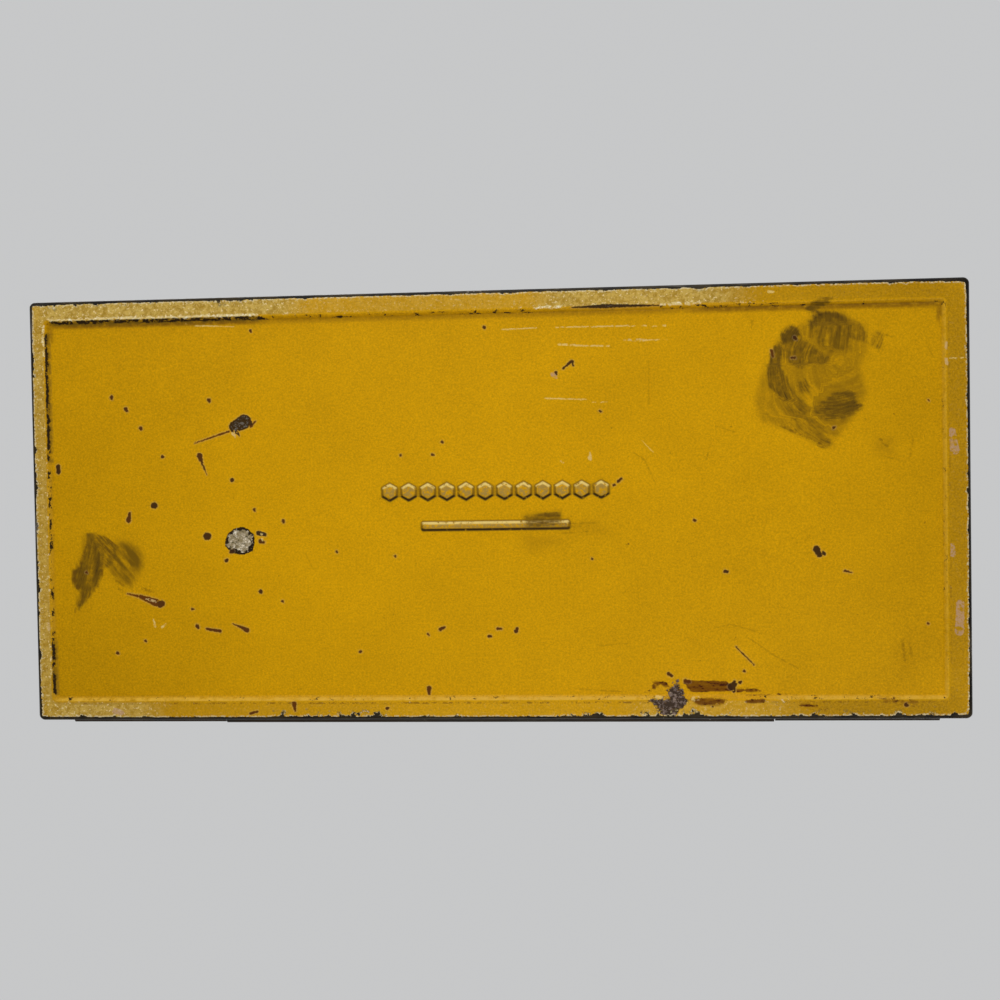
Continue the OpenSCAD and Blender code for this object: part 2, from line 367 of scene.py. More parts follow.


# Marks of wear on the tray's flat face, and where its painted shade and highlights go

# Dark marks with round ends: x, y and half width at one end, then at the other, and how rusty it is
DARK_MARKS = (
    (-78, -23.5, 0.4, -78, -23.2, 0.3, 0.5), (-75, -21, 0.45, -74.8, -20.6, 0.3, 0.5),
    (-72, -17, 0.4, -71.9, -16.8, 0.3, 0.6), (-57.5, -22.5, 0.4, -57.4, -22.2, 0.3, 0.5),
    (-67.5, -11, 0.35, -67.4, -11, 0.3, 0.5), (-53, -6, 0.45, -53, -5.9, 0.4, 0.3),
    (-69.5, -1, 0.7, -69.6, -1, 0.65, 0.2), (-75, 2, 0.55, -74.7, 0.4, 0.25, 0.6),
    (-48.5, 0.1, 0.3, -48.4, 0.4, 0.25, 0.6), (-42.5, 2.5, 0.35, -42.4, 2.8, 0.3, 0.6),
    (-47.5, 17, 0.45, -47.4, 17.1, 0.35, 0.3), (-43, 19, 0.3, -42.9, 19.2, 0.25, 0.6),
    (-61, 24, 0.45, -60.8, 24.3, 0.35, 0.5), (-62, 20.5, 0.3, -61.7, 20.5, 0.2, 0.6),
    (-59, 24.6, 0.25, -56.2, 25.1, 0.35, 0.7), (-50.5, 25, 0.5, -51.5, 24.4, 0.35, 0.7),
    (-51.5, 24.4, 0.35, -53.5, 23.6, 0.1, 0.7), (-58.5, 5.5, 0.8, -58.4, 5.5, 0.8, 0.2),
    (-54.5, 10.5, 0.45, -54.4, 10.4, 0.35, 0.3), (-53.5, 8.8, 0.4, -53.2, 8.6, 0.4, 0.2),
    (-78, 29.5, 0.35, -77.9, 29.6, 0.3, 0.5), (-72, 27, 0.3, -71.9, 27.1, 0.25, 0.6),
    (-48.5, -36.5, 0.3, -48.4, -36.2, 0.2, 0.5), (-0.5, -36, 0.35, -0.4, -35.8, 0.3, 0.4),
    (-18, -10.5, 0.3, -18, -10.4, 0.25, 0.5), (-11.5, -10.5, 0.3, -11.2, -10.4, 0.25, 0.6),
    (-9.5, -13, 0.3, -9.4, -12.9, 0.25, 0.6), (26, -4.5, 0.3, 26.6, -5, 0.3, 0.4),
    (25, -3.7, 0.25, 25.3, -3.8, 0.2, 0.5), (-31.5, 9, 0.3, -31.4, 9.1, 0.25, 0.5),
    (-19.5, 10, 0.3, -19.4, 10.1, 0.25, 0.5), (-10.5, 25, 0.4, -9.6, 24.6, 0.25, 0.6),
    (-0.5, 26.5, 0.4, -0.2, 26.5, 0.3, 0.5), (1.2, 25, 0.35, 2, 25, 0.2, 0.7),
    (5, 25.5, 0.45, 5.2, 25, 0.3, 0.5), (-27, 29.5, 0.35, -26.9, 29.5, 0.3, 0.5),
    (-13, 37, 0.5, -13, 38.2, 0.25, 0.7), (-21.5, 41, 0.4, -21.4, 41, 0.3, 0.5),
    (-40.8, 40, 0.5, -40.6, 41.5, 0.2, 0.9), (-50, 42, 0.25, -48.5, 41.6, 0.25, 0.8),
    (20.5, 11, 0.25, 20.6, 11.1, 0.2, 0.5),
    (65, 9.6, 0.7, 65.6, 10.8, 0.5, 0.1), (66.3, 10.4, 0.4, 66.6, 10.6, 0.3, 0.1),
    (70.5, 14, 0.3, 71.8, 14.3, 0.15, 0.6), (41, 3.5, 0.3, 41.2, 3.6, 0.25, 0.5),
    (47, 13.8, 0.4, 47.4, 13.9, 0.3, 0.3), (86.5, 24.5, 0.22, 86.6, 24.6, 0.18, 0.9),
    (87, -19.5, 0.22, 87.1, -19.4, 0.18, 0.9), (82, 40.5, 0.4, 82.2, 40.6, 0.3, 0.4),
    (61.2, -32.4, 0.35, 61.4, -32.1, 0.3, 0.35), (60.5, -28.4, 0.2, 61.2, -28.4, 0.25, 0.6),
    (68.6, -14.4, 0.3, 68.9, -14.6, 0.2, 0.5),
    (15.3, -27.3, 0.2, 17, -28.7, 0.3, 0.2), (17.2, -28.7, 0.25, 17.3, -27.9, 0.2, 0.2),
    (13.8, -26.6, 0.3, 13.9, -26.2, 0.25, 0.3), (22.5, -18.7, 0.25, 22.8, -18.5, 0.2, 0.3),
    (-52.2, -16.9, 1.2, -50.2, -17.9, 1.5, 0), (-49.6, -18.1, 0.9, -49, -17.3, 0.6, 0.15),
    (-48.8, -17, 0.35, -47.8, -18, 0.12, 0.9),
    (-53.4, -16, 0.22, -60.6, -13.7, 0.12, 0.9), (-51.9, -15.8, 0.4, -51.2, -15, 0.1, 0.1),
    (-59.7, -11.1, 0.6, -59.2, -9.6, 0.25, 0.5), (-59.2, -9.6, 0.25, -58.3, -7.2, 0.08, 0.5),
    (-75.6, 17.2, 0.15, -72.9, 17.8, 0.35, 1), (-72.9, 17.8, 0.4, -69.6, 19.1, 0.8, 1),
    (-68.7, 19.4, 0.75, -68.4, 19.3, 0.7, 0.55), (-47.7, 5, 0.5, -46.4, 5.3, 0.4, 0),
    (-47.3, 6.6, 0.5, -46.6, 6.9, 0.3, 0.6), (17.2, -39.4, 0.12, 24, -39.5, 0.42, 0),
    (24, -39.5, 0.42, 34.5, -39.4, 0.12, 0), (-84.2, 12.7, 0.3, -84.1, 12.8, 0.2, 0.8),
    (56.6, -30, 0.3, 56.9, -28.8, 0.25, 0.9), (-13, 26, 0.25, -12.8, 26.3, 0.15, 0.9),
    (50.5, 33.8, 0.3, 50.6, 33.9, 0.25, 0.6), (48, 36.9, 0.8, 48.5, 36.5, 0.6, 0.15),
    (49.6, 36.1, 0.35, 49.8, 36, 0.25, 0.2), (48.6, 35.9, 0.3, 48.4, 37.8, 0.35, 0.15),
    (38.8, 35.7, 0.45, 39.6, 35.9, 0.35, 0.8), (35.5, 34.3, 0.35, 36.2, 34.8, 0.25, 0.5),
    (49, 29, 0.15, 52.5, 32.6, 0.12, 0.4), (-89.7, -9.4, 0.45, -89.7, -8.2, 0.45, 0.1),
)

# Pale marks, bare to primer: the same numbers, and how pink it is
PALE_MARKS = (
    (3, -35.4, 0.12, 10, -35.6, 0.12, 0), (14, -35.6, 0.12, 32, -35.5, 0.15, 0),
    (33, -35.4, 0.2, 35.8, -35.4, 0.2, 0), (14.5, -32.2, 0.25, 19, -31.8, 0.16, 0),
    (19, -31.8, 0.16, 24.5, -31.6, 0.16, 0), (27.5, -32.7, 0.2, 31.5, -32.6, 0.28, 0.2),
    (31.5, -32.6, 0.15, 36.2, -32.6, 0.12, 0), (11.5, -21.4, 0.15, 20, -21, 0.12, 0),
    (21, -20.4, 0.1, 24, -20.4, 0.1, 0), (13.2, -26.2, 0.5, 13.8, -25.6, 0.35, 1),
    (20.2, -10.3, 0.35, 20.4, -9.2, 0.45, 0.2), (14.6, -8.7, 0.2, 15, -8.4, 0.2, 0.3),
    (-70.2, 22.6, 0.2, -69.9, 24, 0.25, 0), (-68.4, 24.2, 0.25, -67.6, 23.6, 0.2, 0),
    (90.3, -30.6, 0.3, 90.3, -29.4, 0.2, 0.6), (90.3, -27.4, 0.35, 90.4, -26.6, 0.3, 0.6),
    (-92.5, 23.4, 0.5, -92.2, 24.4, 0.3, 0.6), (-78.6, 41.4, 0.6, -77.2, 41.8, 0.6, 1),
    (91.3, -13.4, 0.6, 91.8, -9.6, 0.9, 1), (91.2, 9, 0.4, 91.3, 11, 0.5, 1),
    (92.6, 20.6, 0.8, 92.4, 26, 0.9, 1), (56.2, -41.5, 0.35, 57, -41.4, 0.25, 0),
    (91, -27.6, 0.12, 93.6, -27.6, 0.12, 0), (-52.5, -15.5, 0.45, -52.1, -14.7, 0.15, 0.2),
    (-61, -37.8, 0.15, -52, -37.4, 0.1, 0), (-61.8, -38.2, 0.25, -60.8, -38, 0.2, 0),
    (33, 39, 0.35, 34, 39, 0.3, 0), (40.4, 39.3, 0.5, 41.3, 39.2, 0.45, 0.1),
    (-71.6, 18.3, 0.18, -69.7, 18.9, 0.3, 0.4), (-47.2, 5.2, 0.2, -47, 5.3, 0.2, 0),
    (-47, 6.2, 0.25, -46.9, 6.6, 0.15, 0), (30.8, -12.6, 0.07, 33, -10.2, 0.07, 0),
)

# Faint lines and spots of dirt: the same numbers, and their strength
FAINT_MARKS = (
    (21.7, 28.6, 0.1, 27.5, 28.1, 0.08, 0.4), (29, -10.3, 0.12, 31.4, -8.6, 0.12, 0.5),
    (31.4, -8.6, 0.12, 33.5, -3.6, 0.1, 0.5), (43.6, 25.5, 0.1, 47.8, 24.4, 0.1, 0.45),
    (47.8, 24.4, 0.1, 52.7, 25.8, 0.1, 0.45), (51.5, 27.2, 0.12, 56.6, 30.8, 0.12, 0.5),
    (56.6, 30.8, 0.12, 61.1, 33.3, 0.1, 0.5), (44.7, -12.6, 0.12, 43.6, -8.6, 0.12, 0.45),
    (45.5, -15.2, 0.12, 49.2, -13.9, 0.1, 0.45), (77.6, -12, 0.25, 79, -10.6, 0.2, 0.7),
    (78.6, -8.6, 0.12, 82.5, -7.4, 0.1, 0.4), (84, -12, 0.15, 83.2, -7.5, 0.12, 0.5),
    (81.6, 27.8, 0.2, 81.9, 31.8, 0.2, 0.55), (82.9, 28.2, 0.2, 83.3, 31, 0.2, 0.5),
    (16.9, 37.3, 0.1, 27, 37.9, 0.1, 0.5), (86.9, -30, 0.12, 88, -28.1, 0.12, 0.4),
    (32.4, -28.4, 0.1, 32.3, -19.8, 0.1, 0.35), (-38.1, 9.2, 0.1, -36.7, 12, 0.1, 0.4),
    (14.4, 3.9, 0.1, 22.2, 3.8, 0.08, 0.6), (14.6, 4.5, 0.08, 20, 4.4, 0.08, 0.5),
    (13.8, 5.9, 0.12, 19.8, 5.5, 0.08, 0.6), (-80.7, 9.6, 0.2, -80.9, 13.4, 0.2, 0.9),
    (-84, 7, 0.2, -85.9, 12.1, 0.2, 0.9), (-86.8, 12.6, 0.35, -86.9, 14.6, 0.45, 0.7),
    (-86.3, 15.6, 0.4, -86, 16, 0.3, 0.9), (-77.9, 14.5, 0.2, -76.3, 15.6, 0.2, 0.7),
    (-77.4, 16.2, 0.2, -75.6, 17.2, 0.2, 0.8), (-72.4, 16.2, 0.25, -70.2, 16.8, 0.3, 0.8),
    (58.3, -14.9, 0.15, 64.3, -12.1, 0.2, 0.7), (64.3, -12.1, 0.2, 67.6, -10.6, 0.2, 0.7),
    (-80.4, 5.2, 0.2, -77.2, 7.6, 0.15, 0.9), (-81.8, 5.6, 0.2, -78.6, 9, 0.2, 0.8),
    (53, -35.9, 0.15, 52.8, -34.6, 0.12, 0.6), (74.7, -16, 0.25, 74.8, -15.9, 0.2, 0.7),
    (71.5, -31.8, 0.3, 71.4, -30, 0.1, 0.4), (79, -32.4, 0.15, 80.4, -32.2, 0.1, 0.6),
)

# Chips down to bare tin with a black ring: closed outline
BARE_CHIPS = (
    ((-54.9, 7.1), (-54.2, 5), (-52.5, 3.9), (-51.2, 3.6), (-49.7, 4.2), (-48.6, 5.5),
     (-48.5, 6.9), (-49, 8.5), (-50.7, 9.4), (-52.4, 9.2), (-53.6, 8.6), (-54.6, 8)),
)

# Smudges: closed outline, strength, softness of its edge, and the place that its streaks run round
SMUDGES = (
    (((64.3, -35.7), (65.1, -36.8), (66.3, -37.5), (67.9, -37.6), (69.5, -37.2), (70.8, -36.5),
      (71.3, -35.2), (69.5, -35.6), (67.9, -35.9), (66.3, -35.7), (65.1, -34.8), (64.3, -33.4),
      (63.6, -34.9)), 1.05, 0.5, (1068, -35)),
    (((64.1, -34.7), (65.5, -36.7), (68.3, -37.1), (70.8, -35.9), (71.4, -34), (70.2, -32),
      (67.7, -31.2), (65.1, -31.4), (63.9, -32.6)), 0.72, 1.4, (1068, -35)),
    (((71, -36.2), (73.8, -35.2), (75.5, -33), (75.5, -31), (73.6, -31.2), (71.6, -31.8),
      (70.8, -34)), 0.68, 0.6, (1068, -35)),
    (((75.6, -30.6), (76.6, -33), (78.4, -33.9), (78.7, -31.8), (78.6, -29.4), (77.2, -29.6)),
     0.66, 0.5, (971, 416)),
    (((58.4, -32.8), (59.1, -34.3), (60.7, -34.9), (61.9, -34.5), (62.3, -32.8), (61.7, -31.6),
      (59.7, -31.2), (58.4, -31.4)), 1.2, 0.45, (70, -27)),
    (((58.7, -31.6), (61.9, -32.4), (64.1, -31.4), (66.1, -29.6), (67.9, -28.4), (66.9, -26.8),
      (64.3, -27), (62.3, -26.2), (60.3, -27), (58.7, -29.2)), 0.85, 0.8, (70, -27)),
    (((57, -30.8), (58.7, -32), (59, -29.6), (58.5, -26.8), (59.9, -24.4), (60.9, -21.8),
      (61.7, -19.5), (59.9, -19.3), (57.9, -20.8), (55.8, -23), (55.7, -26.4), (56.2, -29.2)),
     0.92, 0.5, (72, -27)),
    (((57.5, -21.5), (60.7, -21.6), (63.1, -20), (64.3, -18.3), (62.3, -16.1), (59.7, -16.9)),
     0.66, 0.9, (70, -27)),
    (((61.5, -23.6), (63.1, -24.3), (64.5, -23), (64.1, -21.4), (62.3, -21), (61.3, -22.4)),
     0.75, 0.7, (70, -27)),
    (((66.9, -20.1), (68.9, -21.6), (71.4, -21.8), (73.8, -21), (72.8, -19.7), (74.8, -18.5),
      (73.8, -17.7), (72.2, -16.7), (70.2, -15.7), (68.3, -15.7), (66.3, -16.1), (64.3, -17.3),
      (65.1, -18.9)), 0.95, 0.7, (67, -34)),
    (((61.5, -17.1), (64.3, -16.7), (66.9, -14.9), (68.1, -12.7), (68.1, -10.5), (65.9, -10.3),
      (63.3, -12.5), (60.3, -13.7), (58.3, -14.9)), 0.62, 0.7, (74, -26)),
    (((63.4, -38.1), (64, -39.1), (66.3, -40), (68.7, -40.1), (68.2, -39), (66, -37.9),
      (65, -36.9), (63.7, -37.2)), 0.95, 0.5, (66, -60)),
    (((-84.2, 4.4), (-82, 4.4), (-82.2, 5.9), (-81.4, 7.8), (-80.6, 10), (-80.5, 11.3), (-81, 13.7),
      (-81.7, 15.4), (-83, 16.9), (-83.7, 18.1), (-85.4, 19.8), (-86.9, 21.3), (-86.9, 20.4),
      (-85.9, 18.3), (-85.2, 16.2), (-86.4, 16.4), (-87.1, 15.6), (-87.6, 13.8), (-87.3, 12.1),
      (-85.8, 11.9), (-85.1, 9.7), (-84.3, 7.4), (-83.8, 6.2)), 0.85, 0.45, (867, 328)),
    (((-82.3, 4.8), (-80.5, 5.1), (-79, 6), (-77.2, 7.8), (-77.8, 8.6), (-77.7, 10.4), (-79.2, 11.7),
      (-80.5, 12.4), (-80.8, 9.1), (-81.8, 7)), 0.85, 0.45, (628, -699)),
    (((6.8, 2.2), (9.6, 1.8), (14.3, 1.3), (14.6, 3), (13.6, 4.2), (7.4, 4.6)), 0.8, 0.7, (10, 1000)),
)

# Soft olive film round the smudges: closed outline, strength, softness
FILMS = (
    (((53.4, -20.8), (56, -28.8), (58.3, -32.4), (61.5, -34.7), (63.9, -35.7), (66.3, -37.5),
      (70.2, -37.1), (75, -34.3), (75.2, -29.6), (73.8, -26.4), (75, -20.8), (72.2, -16.3),
      (67.9, -10.7), (64.3, -12.1), (57.9, -14.9), (54.4, -15.9)), 0.52, 0.9),
    (((53.4, -21.6), (54.8, -22.8), (57, -21.6), (58.3, -18.7), (57.5, -17.1), (55, -15.9),
      (53.2, -20.1)), 0.55, 0.9),
    (((63.5, -34.5), (66, -37.4), (70.8, -36.8), (73.8, -34), (72.5, -29), (66, -29.5)), 0.85, 0.8),
    (((59, -32), (61.9, -32.5), (66, -29.6), (68, -28), (65, -26.5), (60, -26.8)), 0.55, 1),
    (((-77.9, 6.5), (-75.8, 6.4), (-73.7, 7.5), (-72.4, 9.2), (-72.4, 11.6), (-73.7, 13.8),
      (-75, 15.6), (-76.9, 14.9), (-79.2, 12.9), (-78.9, 9)), 0.85, 1.1),
    (((-84.2, 4.6), (-82.2, 5), (-80.8, 9.6), (-81.2, 13.6), (-83.2, 16.6), (-86.6, 20.6),
      (-85.6, 16.4), (-87.2, 14), (-86.8, 12.2), (-85.2, 9.7)), 0.8, 0.5),
    (((6.8, 2.2), (14.3, 1.4), (14.6, 4.3), (7.4, 4.6)), 0.5, 0.9),
    (((6.5, 6), (14.2, 5.8), (15, 8.5), (8, 9.5)), 0.26, 1.8),
    (((14, 3), (22, 3.2), (24, 6), (14, 6.4)), 0.2, 1.8),
    (((76.5, -12.5), (80, -12), (80, -9), (77, -9)), 0.25, 1.5),
)

# Rusty patches on the lower border: closed outline, strength, softness
RUST_PATCHES = (
    (((38.5, 35.5), (47, 36), (48, 36.5), (48, 37.8), (40, 38), (39, 37)), 0.95, 0.35),
    (((48.5, 37.3), (53.8, 37.1), (54, 37.9), (49, 38.1)), 0.85, 0.4),
    (((39.5, 39.3), (44, 39), (47.2, 39.4), (46, 40.5), (41.5, 40.6)), 0.8, 0.6),
    (((50.5, 39.4), (54.5, 39.2), (54.6, 40.1), (50.8, 40.2)), 0.75, 0.5),
    (((56.6, 39.6), (58, 40), (57.6, 42.4), (55.8, 41.8)), 0.3, 1),
    (((60, 40), (64, 40.2), (66.6, 41.4), (64.5, 41.3), (61, 40.8)), 0.6, 0.5),
    (((71.5, 38.8), (78, 38.6), (84, 39.4), (87, 41.2), (80, 40.6)), 0.4, 0.9),
    (((30.6, 38.2), (32.4, 36.1), (34.6, 35.6), (35.8, 36.8), (35.4, 37.4), (34, 36.4), (32.6, 37.4)),
     0.7, 0.3),
    (((50.5, 38.4), (61, 38.3), (61, 38.6), (50.5, 38.8)), 0.45, 0.3),
)

# Metal burnt grey and flaking beside the rust: closed outline
BURNT_METAL = (
    ((36.2, 36.6), (37.4, 35.9), (37.8, 37.2), (38.6, 38.6), (39.5, 39.8), (37.8, 41), (36.6, 42.6),
     (34, 42.7), (33, 40.8), (31.6, 39.6), (34, 39.2), (35.6, 39.4), (35.4, 38)),
)

# Painted shade and tone: the paint darkened towards the left, right and lower left sides and lightened in
# the middle as painted light falloff, and toned in a few small spots: x, y, reach along x and y, share of
# its brightness that is lost
SHADE_AND_TONING = (
    (-96, 10, 30, 60, 0.14), (98, -5, 30, 60, 0.15), (-80, 44, 48, 28, 0.16),
    (28, -24, 7, 6, 0.07), (22, -17, 9, 4, 0.04), (-95, -45, 30, 30, 0.05),
    (-10, 4, 42, 26, -0.05), (84, -9.5, 4, 2.4, -0.06), (82, 30.5, 2, 4, 0.10),
)

# Wear, painted shade and painted highlights along the sides: side, from, to, share. First the border's own
# tone, darker than the panel
BORDER_TONE = (
    ("front", -95, -35, 0.05), ("front", -35, 40, 0.05), ("front", 40, 95, 0.25),
    ("right", -44, 44, 0.17), ("back", -95, -20, 0.06), ("back", 60, 95, 0.27),
    ("left", -44, 44, 0.12),
)

# Ridge worn to cream primer
RIDGE_WEAR = (
    ("front", -91.5, -46, 1), ("front", -46, 9, 0.25), ("front", 9, 17, 0.75),
    ("front", 34, 44, 0.75), ("front", 44, 56, 0.45), ("left", -40, -30, 0.7),
    ("left", -30, 38, 0.35), ("back", -92, -60, 0.2), ("back", 30, 62, 0.3),
)

# Black line along the ridge's inner slope, where painted shade is laid on the slope too
BLACK_LINE_AND_SHADE = (
    ("left", -37, -10, 1.25), ("left", -10, 26, 0.55), ("left", 26, 38.5, 1),
    ("front", -91, -46, 1), ("front", -46, 12, 0.35), ("front", 36, 60, 0.45),
)

# Painted shade at the foot of the slope
FOOT_SHADE = (
    ("front", -91, -45, 1), ("front", -45, 40, 0.5), ("front", 40, 92, 0.85),
)

# Painted highlight along the ridge
RIDGE_HIGHLIGHT = (
    ("back", -91, 34, 1), ("back", 56, 91, 0.9), ("right", -39, 39, 0.45),
    ("left", -10, 26, 0.3),
)

# Black edge chipped into the flat border
EDGE_CHIPS = (
    ("back", -93, -60, 0.4), ("back", -46, -16, 1), ("back", -16, 28, 0.45),
    ("back", 29, 58, 0.9), ("back", 58, 93, 0.45), ("front", -93, -40, 0.5),
    ("front", -40, 93, 0.2), ("left", -43, 43, 0.35), ("right", -43, 43, 0.2),
)

# Border mottled
MOTTLED = (
    ("front", -95, -38, 1), ("front", -38, 10, 0.3), ("front", 10, 50, 0.95),
    ("front", 50, 95, 0.04), ("left", -44, 44, 0.7), ("right", -44, 44, 0.05),
    ("back", -95, -70, 0.8), ("back", -70, 28, 0.08), ("back", 28, 60, 0.35),
    ("back", 60, 95, 0.05),
)


def stroke_distance(x, y, stroke):
    """Distance to a stroke with round ends, negative inside it.

    The place is projected on the stroke's line, kept between its ends, and the half width there,
    which goes evenly from one end's to the other's, is taken from the distance to that point.
    """
    x0, y0, half0, x1, y1, half1 = stroke[:6]
    run_x, run_y = x1 - x0, y1 - y0
    share = np.clip(((x - x0) * run_x + (y - y0) * run_y) / (run_x ** 2 + run_y ** 2), 0.0, 1.0)
    away = np.hypot(x - x0 - share * run_x, y - y0 - share * run_y)
    return away - half0 - (half1 - half0) * share


def outline_distance(x, y, outline):
    """Distance to a closed outline, negative inside it.

    It is the least distance to its sides, and the sign comes from how many sides a line along x meets.
    """
    least = np.full(np.shape(x), np.inf)
    within = np.zeros(np.shape(x), bool)
    for (x0, y0), (x1, y1) in zip(outline, outline[1:] + outline[:1]):
        least = np.minimum(least, stroke_distance(x, y, (x0, y0, 0.0, x1, y1, 0.0)))
        crosses = (y0 > y) != (y1 > y)
        meets = x < x0 + (y - y0) * (x1 - x0) / ((y1 - y0) or 1.0)
        within ^= crosses & meets
    return np.where(within, -least, least)


def distances(x, y, outlines):
    """One row for each outline of the distances to it."""
    return np.stack([outline_distance(x, y, outline) for outline in outlines])


def soft_shares(x, y, patches):
    """One row for each patch: its strength inside its outline, fading out over its softness."""
    return np.stack([share * smooth(1.0, -1.0, outline_distance(x, y, outline) / soft)
                     for outline, share, soft, *_ in patches])


def along_sides(x, y, stretches, blend=1.5):
    """Share of wear at each place: the largest of the stretches on the side of the panel it lies by."""
    gap_x, gap_y = np.abs(x - BASE_PANEL_X) - PANEL_X, np.abs(y) - PANEL_Y
    total = np.zeros(np.shape(x))
    for side, start, end, share in stretches:
        lengthwise = side in ("front", "back")
        place = x if lengthwise else y
        sign = 1.0 if side in ("back", "right") else -1.0
        if lengthwise:
            here = (gap_y + SIDE_REACH > np.maximum(gap_x, -SIDE_REACH)) & (y * sign > 0)
        else:
            here = (gap_x + SIDE_REACH > np.maximum(gap_y, -SIDE_REACH)) & (x * sign > 0)
        window = smooth(start - blend, start + blend, place) * (1 - smooth(end - blend, end + blend, place))
        total = np.maximum(total, share * window * here)
    return total


def keep(mesh, name, values, domain="POINT"):
    """Stores one number or one vector for each point or face as a mesh attribute."""
    values = np.asarray(values, np.float32)
    kind, field = ("FLOAT_VECTOR", "vector") if values.ndim == 2 else ("FLOAT", "value")
    mesh.attributes.new(name, kind, domain).data.foreach_set(field, values.ravel())


def keep_strokes(mesh, name, x, y, strokes):
    """Stores, for each face, both ends of the nearest stroke with their half widths, and its last number."""
    which = np.argmin(np.stack([stroke_distance(x, y, stroke) for stroke in strokes]), axis=0)
    numbers = np.array(strokes)[which]
    keep(mesh, name + "_start", numbers[:, 0:3], "FACE")
    keep(mesh, name + "_end", numbers[:, 3:6], "FACE")
    keep(mesh, name + "_tint", numbers[:, 6], "FACE")


def keep_edges(mesh, points, half_x, half_y, corner, rise, panel_x):
    """Stores how far in from the wall, how far inside the panel and how near a corner a point lies."""
    x, y = points[:, 0], points[:, 1]
    keep(mesh, "rim", depth_inside(x, y, half_x, half_y, corner) - rise)
    keep(mesh, "ridge", depth_inside(x - panel_x, y, PANEL_X, PANEL_Y, PANEL_CORNER))
    keep(mesh, "corner", np.exp(-np.hypot(np.abs(x) - half_x, np.abs(y) - half_y) / CORNER_REACH))


def keep_base_marks(mesh, points, faces):
    """Stores the fields that the tray's paint is worn by, and where its painted shade and highlights go:
    distances to marks, and soft shares.
    """
    x, y = points[:, 0], points[:, 1]
    keep_edges(mesh, points, LENGTH / 2, WIDTH / 2, CORNER, points[:, 2], BASE_PANEL_X)
    keep(mesh, "relief", relief_inside(x, y))
    lower = relief_inside(x, y + 0.3) - relief_inside(x, y - 0.3)
    keep(mesh, "relief_side", lower / 0.6)
    # Painted shade towards the sides, a brighter middle and a few toned spots, with the border's own tone
    # added outside the panel
    shade_and_toning = sum(share * np.exp(-((x - at_x) / reach_x) ** 2 - ((y - at_y) / reach_y) ** 2)
                 for at_x, at_y, reach_x, reach_y, share in SHADE_AND_TONING)
    outside = smooth(0.1, -0.5, depth_inside(x - BASE_PANEL_X, y, PANEL_X, PANEL_Y, PANEL_CORNER))
    keep(mesh, "shade_and_toning", shade_and_toning + outside * along_sides(x, y, BORDER_TONE, 8.0))
    keep(mesh, "thin_line", smooth(-88.0, -90.0, x))
    for name, stretches, blend in (
            ("ridge_wear", RIDGE_WEAR, 1.5), ("black_line_and_shade", BLACK_LINE_AND_SHADE, 1.5), ("foot_shade", FOOT_SHADE, 6.0),
            ("ridge_highlight", RIDGE_HIGHLIGHT, 3.0), ("edge_chips", EDGE_CHIPS, 1.5), ("mottled", MOTTLED, 6.0)):
        keep(mesh, name, along_sides(x, y, stretches, blend))

    away, soaked = distances(x, y, [smudge[0] for smudge in SMUDGES]), soft_shares(x, y, SMUDGES)
    which = np.argmax(soaked - 0.001 * np.maximum(away, 0.0), axis=0)
    centre = np.array([smudge[3] for smudge in SMUDGES], float)[which]
    out_x, out_y = x - centre[:, 0], y - centre[:, 1]
    across = np.hypot(out_x, out_y)
    along = np.arctan2(out_y, out_x) * across
    keep(mesh, "streak", np.stack([along, across, np.zeros(len(x))], axis=1))
    keep(mesh, "smudge", soaked.max(axis=0))
    keep(mesh, "smudge_edge", away.min(axis=0))
    keep(mesh, "film", soft_shares(x, y, FILMS).max(axis=0))
    keep(mesh, "rust", soft_shares(x, y, RUST_PATCHES).max(axis=0))
    keep(mesh, "burnt", distances(x, y, BURNT_METAL).min(axis=0))
    keep(mesh, "bare", distances(x, y, BARE_CHIPS).min(axis=0))

    middles = points[faces].mean(axis=1)
    for name, strokes in (("dark", DARK_MARKS), ("pale", PALE_MARKS), ("faint", FAINT_MARKS)):
        keep_strokes(mesh, name, middles[:, 0], middles[:, 1], strokes)


# Finishes

YELLOW = (0.575, 0.295, 0.001)
DULL_YELLOW = (0.440, 0.240, 0.010)
HIGHLIGHT_YELLOW = (0.720, 0.430, 0.045)
FADED_YELLOW = (0.330, 0.150, 0.002)
BLACK = (0.011, 0.0095, 0.0075)
BROWN_BLACK = (0.036, 0.026, 0.012)
LINE_BLACK = (0.028, 0.016, 0.005)
RING_BLACK = (0.022, 0.013, 0.005)
GRIME_AND_SHADE_BLACK = (0.034, 0.020, 0.004)
SPOT_BLACK = (0.024, 0.011, 0.004)
CREAM = (0.700, 0.560, 0.300)
CREST_CREAM = (0.740, 0.580, 0.240)
PRIMER = (0.860, 0.780, 0.550)
BORDER_BROWN = (0.340, 0.210, 0.030)
BORDER_PALE = (0.600, 0.430, 0.110)
BORDER_FLECK = (0.800, 0.660, 0.330)
BORDER_DARK = (0.120, 0.080, 0.020)
EDGE_BROWN = (0.150, 0.110, 0.030)
EDGE_PRIMER = (0.660, 0.550, 0.320)
RELIEF_WORN = (0.330, 0.220, 0.060)
RELIEF_HIGHLIGHT = (0.780, 0.580, 0.170)
PINKISH = (0.480, 0.300, 0.200)
PALE_SCRATCH = (0.800, 0.600, 0.200)
FAINT_BROWN = (0.130, 0.058, 0.002)
SPOT_HALO = (0.600, 0.400, 0.170)
SPOT_RED = (0.110, 0.028, 0.002)
SPOT_GREY = (0.140, 0.120, 0.095)
DARK_RUST = (0.030, 0.008, 0.003)
RUST_BLOT = (0.060, 0.012, 0.002)
RED_RUST = (0.125, 0.034, 0.001)
BROWN_RUST = (0.200, 0.075, 0.001)
BURNT_BLACK = (0.052, 0.032, 0.020)
BURNT_GREY = (0.200, 0.145, 0.120)
BURNT_PALE = (0.420, 0.310, 0.190)
OLIVE_FILM = (0.170, 0.088, 0.002)
